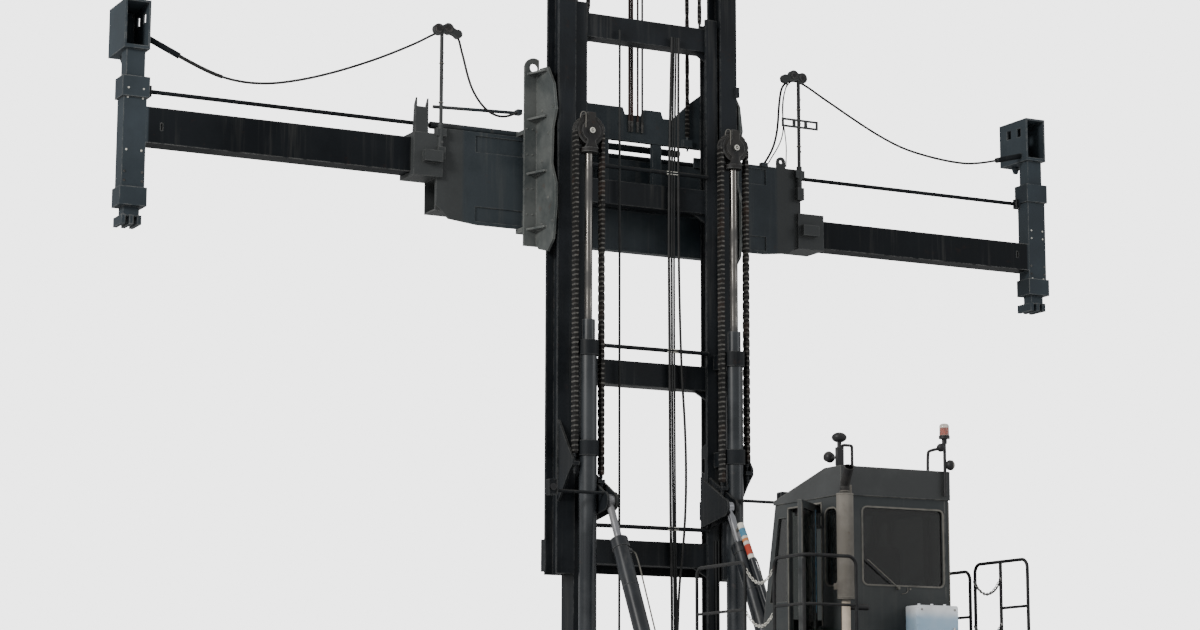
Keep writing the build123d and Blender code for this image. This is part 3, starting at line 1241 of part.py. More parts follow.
def beacon():
    """Round beacon lens on the right lamp post."""
    z = CAB_ROOF + 350.3
    lens = rod((560, CAB_REAR - 40, z), (560, CAB_REAR - 40, z + 120), 48)
    return fillet(lens.edges().filter_by(GeomType.CIRCLE).sort_by(Axis.Z)[-1], 30)


def seat():
    """Operator's seat on its pedestal."""
    y = -4480
    chair = block(-230, 230, y - 230, y + 230, 3440, 3560)
    back = block(-220, 220, y - 280, y - 170, 3550, 4150)
    chair += fillet(back.edges().filter_by(Axis.Y), 40)
    chair += block(-130, 130, y - 130, y + 130, CAB_FLOOR + 40 + SEAT_GAP, 3445)
    for x in (-270, 220):
        chair += block(x, x + 50, y - 220, y + 180, 3700, 3740)
        chair += block(x, x + 50, y - 230, y - 190, 3560, 3740)
        inner = 220 if x > 0 else -230
        chair += block(min(x, inner), max(x + 50, inner + 10), y - 230, y - 190, 3545, 3600)
    return chair


def steering():
    """Steering column with its wheel, and the side console."""
    column = rod((0, -3905, CAB_FLOOR + 100), (0, -4020, 3740), 35)
    column += block(-60, 60, -3970, -3840, CAB_FLOOR + 40 + SEAT_GAP, CAB_FLOOR + 120)
    wheel = Pos(0, -4030, 3760) * Rot(-10, 0, 0) * Torus(190, 14)
    column += wheel
    column += Pos(0, -4030, 3760) * Rot(-10, 0, 0) * Cylinder(40, 50)
    for angle in (90, 210, 330):
        a = math.radians(angle)
        end = Pos(0, -4030, 3760) * Rot(-10, 0, 0) * Pos(185 * math.cos(a), 185 * math.sin(a), 0)
        column += rod((0, -4030, 3760), tuple(end.position), 12)
    column += block(310, 500, -4500, -3950, CAB_FLOOR + 40 + SEAT_GAP, 3640)
    return [s for s in column.solids()]


def tanks():
    """Fuel and oil tanks on the chassis sides."""
    tank = block(RAIL_X[1] + 0.5, 1230, -4250, -2650, 700, CHASSIS_TOP - 130)
    tank = fillet(tank.edges().filter_by(Axis.Y), 60)
    tank += rod((1000, -2900, CHASSIS_TOP - 140), (1000, -2900, CHASSIS_TOP - 80), 60)
    return both(tank)


def fenders():
    """Mudguards over the drive wheels with their stays."""
    inner = DRIVE_R + 90
    x0, x1 = 1235, 2040
    shell = ring((x0, DRIVE_Y, DRIVE_R), (x1, DRIVE_Y, DRIVE_R), inner + 6, inner)
    shell &= block(x0 - 5, x1 + 5, DRIVE_Y - 760, DRIVE_Y + 640, DRIVE_R + 250, DRIVE_R + 900)
    shell += block(RAIL_X[1] + 0.5, x0 + 5, DRIVE_Y - 60, DRIVE_Y + 60, CHASSIS_TOP - 90, CHASSIS_TOP - 20)
    return both(shell)


def tilt_axis():
    """Unit direction of the tilt cylinder and its length from pin to pin."""
    dy = TILT_EYE[0] - TILT_BASE[0]
    dz = TILT_EYE[1] - TILT_BASE[1]
    length = math.hypot(dy, dz)
    return dy / length, dz / length, length


def tilt_barrel(side):
    """Barrel of a tilt cylinder with its base eye and gland."""
    uy, uz, length = tilt_axis()
    by, bz = TILT_BASE
    x = side * TILT_X

    def at(distance):
        return (x, by + uy * distance, bz + uz * distance)

    barrel = rod(at(190), at(TILT_BARREL), TILT_R)
    barrel += rod(at(TILT_BARREL - 120), at(TILT_BARREL), TILT_R + 8)
    eye = rod((x - 42, by, bz), (x + 42, by, bz), 85)
    barrel += rod(at(20), at(200), 42)
    barrel += eye
    barrel -= rod((x - 60, by, bz), (x + 60, by, bz), TILT_PIN_R + 0.08)
    barrel -= rod(at(TILT_BARREL - 1200), at(TILT_BARREL + 10), TILT_ROD_R + 0.08)
    return barrel


def tilt_rod(side):
    """Rod of a tilt cylinder with its eye."""
    uy, uz, length = tilt_axis()
    by, bz = TILT_BASE
    x = side * TILT_X

    def at(distance):
        return (x, by + uy * distance, bz + uz * distance)

    bar = rod(at(TILT_BARREL - 600), at(length - 60), TILT_ROD_R)
    ey, ez = TILT_EYE
    bar += rod((x - 40, ey, ez), (x + 40, ey, ez), TILT_PIN_R + EYE_PLAY + 30)
    bar -= rod((x - 50, ey, ez), (x + 50, ey, ez), TILT_PIN_R + EYE_PLAY)
    return bar


def mast_chains_outer():
    """Chain strands from the rod sheaves down to the moving mast."""
    return both(lift_strand(CYL_X + SHEAVE_R, ANCHOR_OUT_Z, SHEAVE_Z))


def half_wrap(centre, radius, wide, thick, along_y):
    """Chain over the top of a sheave, its link plates standing proud in a fan."""
    x, y, z = centre
    half = wide / 2
    inner = radius - thick / 2 + SEAT_GAP
    outer = radius + thick / 2
    waist = outer - LINK_NOTCH
    if along_y:
        wrap = ring((x, y - half, z), (x, y + half, z), waist, inner)
        links = ring((x, y - half, z), (x, y + half, z), outer, waist - 1)
    else:
        wrap = ring((x - half, y, z), (x + half, y, z), waist, inner)
        links = ring((x - half, y, z), (x + half, y, z), outer, waist - 1)
    count = 5
    reach = outer + 50
    for k in range(count + 1):
        angle = 180 * k / count
        if along_y:
            gap = Pos(x, y, z) * Rot(0, -angle, 0) * Pos(radius, 0, 0) * Box(thick + 20, wide + 10, 16)
        else:
            gap = Pos(x, y, z) * Rot(angle, 0, 0) * Pos(0, radius, 0) * Box(wide + 10, thick + 20, 16)
        links -= gap
    wrap += links
    return wrap - block(x - reach, x + reach, y - reach, y + reach, z - reach, z)


def mast_chains_inner():
    """Chain strands from the rod sheaves down to the fixed mast."""
    return both(lift_strand(CYL_X - SHEAVE_R, ANCHOR_IN_Z, SHEAVE_Z))


def carriage_chain_front():
    """Chains that hang the carriage from the moving mast's head."""
    axis_z = MOV_LOW + MOV_LENGTH + HEAD_BOX + TOP_SHEAVE_R + 20
    return both(carriage_strand(CAR_CHAIN_Y, CAR_ANCHOR_Z, axis_z))


def carriage_chain_rear():
    """The same chains behind the sheaves, down to the fixed mast's top tie."""
    axis_z = MOV_LOW + MOV_LENGTH + HEAD_BOX + TOP_SHEAVE_R + 20
    rear = CAR_CHAIN_Y - 2 * TOP_SHEAVE_R
    return both(carriage_strand(rear, FIX_TIES[-1] + TIE_HEIGHT + 60, axis_z))


def main():
    """Write every node."""
    write("chassis_frame", chassis_frame())
    write("drive_axle", drive_axle())
    write("steer_axle", steer_axle())
    write("counterweight", counterweight())
    write("engine_block", block(-350, 350, -4900, -3560, CHASSIS_TOP - 20 + SEAT_GAP, 2500))
    write("engine_hood", engine_hood())
    write("tanks", tanks())
    write("fenders", fenders())
    write("deck", deck())
    write("deck_supports", deck_supports())
    write("deck_rails", deck_rails())
    write("cab_floor", block(-CAB_HALF + CAB_WALL + 0.3, CAB_HALF - CAB_WALL - 0.3, CAB_REAR + CAB_WALL + 0.3,
                             CAB_FRONT - CAB_WALL - 20, CAB_FLOOR, CAB_FLOOR + 40))
    write("cab_left_wall", cab_side(-1))
    write("cab_right_wall", cab_side(1))
    write("cab_rear_wall", cab_rear())
    write("cab_front_wall", cab_front())
    write("cab_roof", cab_roof())
    write("cab_glass", cab_glass())
    write("cab_door", cab_door())
    write("door_glass", door_glass())
    write("operator_seat", seat())
    write("steering_console", steering())
    write("roof_lamps", roof_lamps())
    write("beacon_lens", beacon())
    write("exhaust", exhaust())
    write("control_cabinet", control_cabinet())
    for side, word in ((-1, "left"), (1, "right")):
        write(f"drive_tyres_{word}", [tyre(side * x, DRIVE_Y, DRIVE_R, DRIVE_TYRE) for x in DRIVE_X])
        write(f"drive_rims_{word}", drive_rims(side))
        write(f"steer_knuckle_{word}", knuckle(side))
        write(f"steer_tyre_{word}", tyre(side * STEER_X, STEER_Y, STEER_R, STEER_TYRE))
        write(f"steer_rim_{word}", steer_rim(side))
        write(f"tilt_barrel_{word}", tilt_barrel(side))
        write(f"tilt_rod_{word}", tilt_rod(side))
        write(f"spreader_arm_{word}", arm(side))
        write(f"twist_lock_{word}", twist_lock(side))
    write("fixed_mast_posts", [fixed_post(-1), fixed_post(1)])
    write("fixed_mast_ties", fixed_ties())
    write("lift_barrels", lift_barrels())
    write("lift_rods", lift_rods())
    write("lift_heads", lift_heads())
    write("moving_mast_posts", [moving_post(-1), moving_post(1)])
    write("moving_mast_ties", moving_ties())
    write("mast_chains_outer", mast_chains_outer())
    write("mast_chains_inner", mast_chains_inner())
    write("carriage_chain_front", carriage_chain_front())
    write("carriage_chain_rear", carriage_chain_rear())
    write("carriage_sides", [carriage_side(-1), carriage_side(1)])
    write("carriage_beams", carriage_beams())
    write("spreader_frame", spreader_frame())
    for word in HOSE_ROUTES:
        write(f"hose_{word}", hose(word))


main()
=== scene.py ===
"""Looks of an empty container handler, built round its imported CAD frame.

Each sub-assembly is a class: its dataclass fields hold the sizes, `build` makes
the pieces that the CAD model leaves out and `dress` puts the finishes on the CAD
nodes. Lengths are metres: +X to the machine's right, +Y forward to the spreader,
+Z up, ground at Z 0. The fields' Y counts from the mast plane, and `place` takes
it into the shared frame.
"""

import json
import logging
import math
from dataclasses import dataclass
from enum import Enum
from typing import ClassVar, Iterable, Sequence

import bmesh
import bpy
from mathutils import Matrix, Vector

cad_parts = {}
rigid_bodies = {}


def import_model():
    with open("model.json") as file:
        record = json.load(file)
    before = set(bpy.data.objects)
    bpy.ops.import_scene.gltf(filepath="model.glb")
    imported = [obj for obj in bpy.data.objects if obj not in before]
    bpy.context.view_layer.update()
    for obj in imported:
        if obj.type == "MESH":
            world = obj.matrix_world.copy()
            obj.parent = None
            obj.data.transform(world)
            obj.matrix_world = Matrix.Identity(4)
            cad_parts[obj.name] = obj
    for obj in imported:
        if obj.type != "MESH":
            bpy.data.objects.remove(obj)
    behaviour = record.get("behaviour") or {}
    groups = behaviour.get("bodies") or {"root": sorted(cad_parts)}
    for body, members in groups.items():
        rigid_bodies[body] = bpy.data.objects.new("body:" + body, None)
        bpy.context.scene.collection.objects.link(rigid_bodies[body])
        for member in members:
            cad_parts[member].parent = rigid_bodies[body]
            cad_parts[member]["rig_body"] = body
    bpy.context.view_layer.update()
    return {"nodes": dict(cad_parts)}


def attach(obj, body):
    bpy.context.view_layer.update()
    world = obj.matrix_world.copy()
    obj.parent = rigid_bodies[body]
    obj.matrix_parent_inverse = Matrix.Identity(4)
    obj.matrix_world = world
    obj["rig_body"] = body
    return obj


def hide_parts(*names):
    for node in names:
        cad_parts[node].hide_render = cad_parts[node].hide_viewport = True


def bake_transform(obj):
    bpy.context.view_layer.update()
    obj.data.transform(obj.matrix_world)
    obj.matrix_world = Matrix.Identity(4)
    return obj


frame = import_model()

logging.basicConfig(level=logging.INFO, format="%(message)s")
LOG = logging.getLogger("handler")

MAST_PLANE = 2.965
"""Y in the shared frame of the moving mast's rear face."""

Mesh = bmesh.types.BMesh
Socket = bpy.types.NodeSocket
Point = tuple[float, float, float]
Colour = tuple[float, float, float]
Box = tuple[Point, Point]
"""Lowest and highest corner of a block."""

Rod = tuple[Point, Point, float, int]
"""Two ends, radius and sides of a round bar."""

FORWARD: Point = (0, 1, 0)
UP: Point = (0, 0, 1)
DOWN: Point = (0, 0, -1)


def place(x: float, y: float, z: float) -> Point:
    """Moves a point from the mast plane's frame into the shared frame.

    Args:
        x: Metres to the machine's right.
        y: Metres forward of the moving mast's rear face.
        z: Metres above the ground.

    Returns:
        The same point in the shared frame.
    """
    return (x, y + MAST_PLANE, z)


class Side(Enum):
    """The two sides of the machine, as the sign of X."""

    LEFT = -1
    RIGHT = 1

    @property
    def word(self) -> str:
        """The side's name as node names spell it."""
        return self.name.lower()


class Finish(Enum):
    """Surface finishes used on the machine."""

    MAST = "mast"
    CARRIAGE = "carriage"
    SPREADER = "spreader"
    ARM = "arm"
    CAB = "cab"
    CAB_INNER = "cab_inner"
    DECK = "deck"
    RAIL = "rail"
    CHASSIS = "chassis"
    BALLAST = "ballast"
    CYLINDER = "cylinder"
    ROD = "rod"
    CHAIN = "chain"
    TYRE = "tyre"
    RIM = "rim"
    GLASS = "glass"
    LAMP = "lamp"
    LENS = "lens"
    CLEAR = "clear"
    RED = "red"
    SEAT = "seat"
    HOSE = "hose"
    EXHAUST = "exhaust"
    CABINET = "cabinet"
    ZINC = "zinc"
    TAPE_ORANGE = "tape_orange"
    TAPE_WHITE = "tape_white"
    TAPE_BLUE = "tape_blue"
    TAPE_RED = "tape_red"
    GASKET = "gasket"
    GREY_HOSE = "grey_hose"
    RED_HOSE = "red_hose"
    HEAD = "head"
    SEAT_SHELL = "seat_shell"
    LIFT_ROD = "lift_rod"
    TILT = "tilt"
    HOLE = "hole"
    FLOOR = "floor"


class Shader:
    """Builds one node tree, with a short call for each kind of step."""

    STEP = (180, -160)
    """Distance between nodes in the editor, across and down."""

    ROWS = 3
    COLOURS = (6, 7, 2)
    """Places of the Mix node's two colours and of its colour result."""

    VALUES = (2, 3, 0)
    """Places of the Mix node's two values and of its value result."""

    def __init__(self, tree: bpy.types.NodeTree) -> None:
        """Starts on a tree.

        Args:
            tree: The node tree to fill.
        """
        self.tree = tree
        self.column = 0

    def add(self, kind: str, **settings: object) -> bpy.types.Node:
        """Adds a node and sets its properties.

        Args:
            kind: Blender's node type.
            **settings: Properties of the node.

        Returns:
            The new node.
        """
        node = self.tree.nodes.new(kind)
        for name, value in settings.items():
            setattr(node, name, value)
        across, down = self.STEP
        node.location = (self.column * across, (self.column % self.ROWS) * down)
        self.column += 1
        return node

    def put(self, value: object, socket: Socket) -> None:
        """Links a socket, or sets a constant, into an input.

        Args:
            value: An output socket or a constant.
            socket: The input that takes it.
        """
        if isinstance(value, Socket):
            self.tree.links.new(value, socket)
        elif isinstance(value, tuple) and len(value) == 3 and socket.type == "RGBA":
            socket.default_value = (*value, 1.0)
        else:
            socket.default_value = value

    def math(self, operation: str, a: object, b: object = 0.0, clamp: bool = False) -> Socket:
        """Adds a math node.

        Args:
            operation: Blender's operation name.
            a: First value.
            b: Second value.
            clamp: Keeps the result between 0 and 1.

        Returns:
            The result's socket.
        """
        node = self.add("ShaderNodeMath", operation=operation, use_clamp=clamp)
        self.put(a, node.inputs[0])
        self.put(b, node.inputs[1])
        return node.outputs[0]

    def mix(self, factor: object, a: object, b: object) -> Socket:
        """Mixes two colours.

        Args:
            factor: Share of the second colour.
            a: First colour.
            b: Second colour.

        Returns:
            The mixed colour's socket.
        """
        first, second, result = self.COLOURS
        node = self.add("ShaderNodeMix", data_type="RGBA")
        self.put(factor, node.inputs[0])
        self.put(a, node.inputs[first])
        self.put(b, node.inputs[second])
        return node.outputs[result]

    def blend(self, factor: object, a: object, b: object) -> Socket:
        """Mixes two values.

        Args:
            factor: Share of the second value.
            a: First value.
            b: Second value.

        Returns:
            The mixed value's socket.
        """
        first, second, result = self.VALUES
        node = self.add("ShaderNodeMix", data_type="FLOAT")
        self.put(factor, node.inputs[0])
        self.put(a, node.inputs[first])
        self.put(b, node.inputs[second])
        return node.outputs[result]

    def band(self, value: object, low: object, high: object) -> Socket:
        """Maps a value smoothly from 0 at low to 1 at high.

        Args:
            value: The value to map.
            low: Where the result leaves 0.
            high: Where the result reaches 1.

        Returns:
            The mapped value's socket.
        """
        node = self.add("ShaderNodeMapRange", interpolation_type="SMOOTHSTEP")
        self.put(value, node.inputs[0])
        self.put(low, node.inputs[1])
        self.put(high, node.inputs[2])
        return node.outputs[0]

    def noise(self, vector: object, scale: object, detail: float, rough: float) -> Socket:
        """Adds a noise texture.

        Args:
            vector: Where it is read.
            scale: Its scale.
            detail: Octaves.
            rough: Share of the finer octaves.

        Returns:
            The noise value's socket.
        """
        node = self.add("ShaderNodeTexNoise")
        self.put(vector, node.inputs["Vector"])
        self.put(scale, node.inputs["Scale"])
        node.inputs["Detail"].default_value = detail
        node.inputs["Roughness"].default_value = rough
        return node.outputs[0]

    def stretch(self, vector: object, scale: Point) -> Socket:
        """Scales a vector by different amounts along its axes.

        Args:
            vector: The vector.
            scale: Factor along X, Y and Z.

        Returns:
            The scaled vector's socket.
        """
        node = self.add("ShaderNodeVectorMath", operation="MULTIPLY")
        self.put(vector, node.inputs[0])
        node.inputs[1].default_value = scale
        return node.outputs[0]


class Effects:
    """Node groups shared by several finishes. Their outputs are masks, values and normals."""

    def __init__(self) -> None:
        """Makes every group once."""
        self.patches = self._patches()
        self.edges = self._edges()
        self.streaks = self._streaks()
        self.settled = self._settled()
        self.grain = self._grain()

    @staticmethod
    def _group(name: str, inputs: Sequence[tuple[str, float]], outputs: Sequence[tuple[str, str]]) -> tuple:
        """Starts a group with its sockets.

        Args:
            name: The group's name.
            inputs: Name and default of each float input.
            outputs: Name and socket type of each output.

        Returns:
            The tree, its builder, its input node and its output node.
        """
        tree = bpy.data.node_groups.new(name, "ShaderNodeTree")
        for label, default in inputs:
            socket = tree.interface.new_socket(label, in_out="INPUT", socket_type="NodeSocketFloat")
            socket.default_value = default
        for label, kind in outputs:
            tree.interface.new_socket(label, in_out="OUTPUT", socket_type=kind)
        shader = Shader(tree)
        return tree, shader, shader.add("NodeGroupInput"), shader.add("NodeGroupOutput")

    def _patches(self) -> bpy.types.NodeTree:
        """Blotches of uneven tone.

        Returns:
            The group, with a Mask output.
        """
        tree, s, start, end = self._group("Patches", [("Scale", 2.0), ("Low", 0.42), ("High", 0.62)],
                                          [("Mask", "NodeSocketFloat")])
        where = s.add("ShaderNodeTexCoord").outputs["Object"]
        value = s.noise(where, start.outputs["Scale"], detail=6.0, rough=0.6)
        s.put(s.band(value, start.outputs["Low"], start.outputs["High"]), end.inputs["Mask"])
        return tree

    def _edges(self) -> bpy.types.NodeTree:
        """Paint rubbed off along edges.

        Returns:
            The group, with a Mask output.
        """
        tree, s, start, end = self._group("RubbedEdges", [("Radius", 0.012), ("Amount", 0.6)],
                                          [("Mask", "NodeSocketFloat")])
        bevel = s.add("ShaderNodeBevel", samples=4)
        s.put(start.outputs["Radius"], bevel.inputs["Radius"])
        flat = s.add("ShaderNodeNewGeometry").outputs["Normal"]
        dot = s.add("ShaderNodeVectorMath", operation="DOT_PRODUCT")
        s.put(bevel.outputs[0], dot.inputs[0])
        s.put(flat, dot.inputs[1])
        turned = s.math("SUBTRACT", 1.0, dot.outputs["Value"])
        where = s.add("ShaderNodeTexCoord").outputs["Object"]
        broken = s.noise(where, scale=9.0, detail=8.0, rough=0.7)
        edge = s.band(turned, low=0.01, high=0.16)
        value = s.math("MULTIPLY", edge, s.band(broken, low=0.36, high=0.60))
        s.put(s.math("MULTIPLY", value, start.outputs["Amount"], True), end.inputs["Mask"])
        return tree

    def _streaks(self) -> bpy.types.NodeTree:
        """Marks that rain draws down upright faces.

        Returns:
            The group, with a Mask output.
        """
        tree, s, start, end = self._group("RainStreaks", [("Scale", 1.0), ("Amount", 0.5)],
                                          [("Mask", "NodeSocketFloat")])
        where = s.add("ShaderNodeTexCoord").outputs["Object"]
        scaled = s.add("ShaderNodeVectorMath", operation="SCALE")
        s.put(where, scaled.inputs[0])
        s.put(start.outputs["Scale"], scaled.inputs["Scale"])
        drips = s.stretch(scaled.outputs[0], (16.0, 16.0, 0.7))
        runs = s.stretch(scaled.outputs[0], (3.0, 3.0, 0.5))
        fine = s.band(s.noise(drips, scale=1.0, detail=6.0, rough=0.6), low=0.48, high=0.70)
        broad = s.band(s.noise(runs, scale=1.0, detail=3.0, rough=0.5), low=0.40, high=0.65)
        value = s.math("MULTIPLY", fine, broad)
        s.put(s.math("MULTIPLY", value, start.outputs["Amount"], True), end.inputs["Mask"])
        return tree

    def _settled(self) -> bpy.types.NodeTree:
        """Dust that lies on faces that look up.

        Returns:
            The group, with a Mask output.
        """
        tree, s, start, end = self._group("SettledDust", [("Scale", 3.0), ("Amount", 0.6)],
                                          [("Mask", "NodeSocketFloat")])
        normal = s.add("ShaderNodeSeparateXYZ")
        s.put(s.add("ShaderNodeNewGeometry").outputs["Normal"], normal.inputs[0])
        where = s.add("ShaderNodeTexCoord").outputs["Object"]
        spread = s.noise(where, start.outputs["Scale"], detail=6.0, rough=0.6)
        level = s.band(normal.outputs["Z"], low=0.15, high=0.9)
        value = s.math("MULTIPLY", level, s.band(spread, low=0.25, high=0.65))
        s.put(s.math("MULTIPLY", value, start.outputs["Amount"], True), end.inputs["Mask"])
        return tree

    def _grain(self) -> bpy.types.NodeTree:
        """Fine unevenness of paint, rubber or cast metal.

        Returns:
            The group, with a Normal output.
        """
        tree, s, start, end = self._group("SurfaceGrain",
                                          [("Scale", 60.0), ("Strength", 0.15), ("Depth", 0.004)],
                                          [("Normal", "NodeSocketVector")])
        where = s.add("ShaderNodeTexCoord").outputs["Object"]
        value = s.noise(where, start.outputs["Scale"], detail=5.0, rough=0.6)
        bump = s.add("ShaderNodeBump")
        s.put(start.outputs["Strength"], bump.inputs["Strength"])
        s.put(start.outputs["Depth"], bump.inputs["Distance"])
        s.put(value, bump.inputs["Height"])
        s.put(bump.outputs[0], end.inputs["Normal"])
        return tree


@dataclass(frozen=True)
class Zone:
    """A part of a piece, beyond a distance along one axis, with another tone.

    Attributes:
        axis: Name of the axis, X, Y or Z.
        start: Where the zone starts, as a distance from the origin.
        width: Over what length the tone changes.
        colour: The zone's tone.
        below: The zone lies nearer the origin than start.
    """

    axis: str
    start: float
    width: float
    colour: Colour
    below: bool = False


@dataclass(frozen=True)
class Paint:
    """A painted steel finish with its wear.

    Attributes:
        base: Colour of the paint.
        faded: Colour of its paler blotches.
        bare: Colour where it is rubbed off.
        dust: Colour of the dust on it.
        rough: Roughness of sound paint.
        wear: How much is rubbed off at edges.
        streak: How strong the rain marks are.
        settle: How much dust lies on it.
        rust: How much rust shows.
        blotch: Scale of the blotches.
        relief: Strength of the fine bump.
        gloss: Specular level of the paint.
        zone: A part of the piece that has another tone, if any.
    """

    base: Colour
    faded: Colour
    bare: Colour = (0.16, 0.16, 0.155)
    dust: Colour = (0.085, 0.082, 0.074)
    rough: float = 0.45
    wear: float = 0.5
    streak: float = 0.25
    settle: float = 0.4
    rust: float = 0.15
    blotch: float = 1.4
    relief: float = 0.12
    gloss: float = 0.16
    zone: Zone | None = None


@dataclass(frozen=True)
class Metal:
    """A bare metal finish with dirt in patches.

    Attributes:
        light: Colour of the clean metal, darkened on the lift rods as a painted dark reflection.
        dark: Colour of the grease or dirt.
        rough: Roughness of the clean metal.
        metallic: How metallic the clean metal is.
        patch: Scale of the patches.
    """

    light: Colour
    dark: Colour
    rough: float
    metallic: float
    patch: float


@dataclass(frozen=True)
class Soft:
    """Rubber, plastic or cloth.

    Attributes:
        base: Main colour.
        worn: Colour of its paler patches.
        rough: Roughness.
        grain: Scale of its grain.
        relief: Strength of its grain.
    """

    base: Colour
    worn: Colour
    rough: float
    grain: float
    relief: float


@dataclass(frozen=True)
class Clear:
    """Glass or a lens with a film of dirt.

    Attributes:
        tint: Its colour.
        rough: Roughness of the clean glass.
        through: How much of the light goes through.
    """

    tint: Colour
    rough: float
    through: float


@dataclass(frozen=True)
class LeafChain:
    """Greased leaf chain. Each pitch has a lighter row, a painted highlight on the link ends, paler still in
    worn patches.

    Attributes:
        pitch: Length from row to row.
        gap: Colour between the rows.
        greased: Colour of a row under grease, lighter than the gap as a painted highlight.
        worn: Colour of a row's worn spots, which also carry the brightest painted highlight.
        rust: Colour of the rust on it.
        stand: How far a row seems to stand out.
    """

    pitch: float = 0.055
    gap: Colour = (0.0045, 0.0042, 0.0040)
    greased: Colour = (0.022, 0.021, 0.020)
    worn: Colour = (0.088, 0.085, 0.078)
    rust: Colour = (0.040, 0.020, 0.012)
    stand: float = 0.006


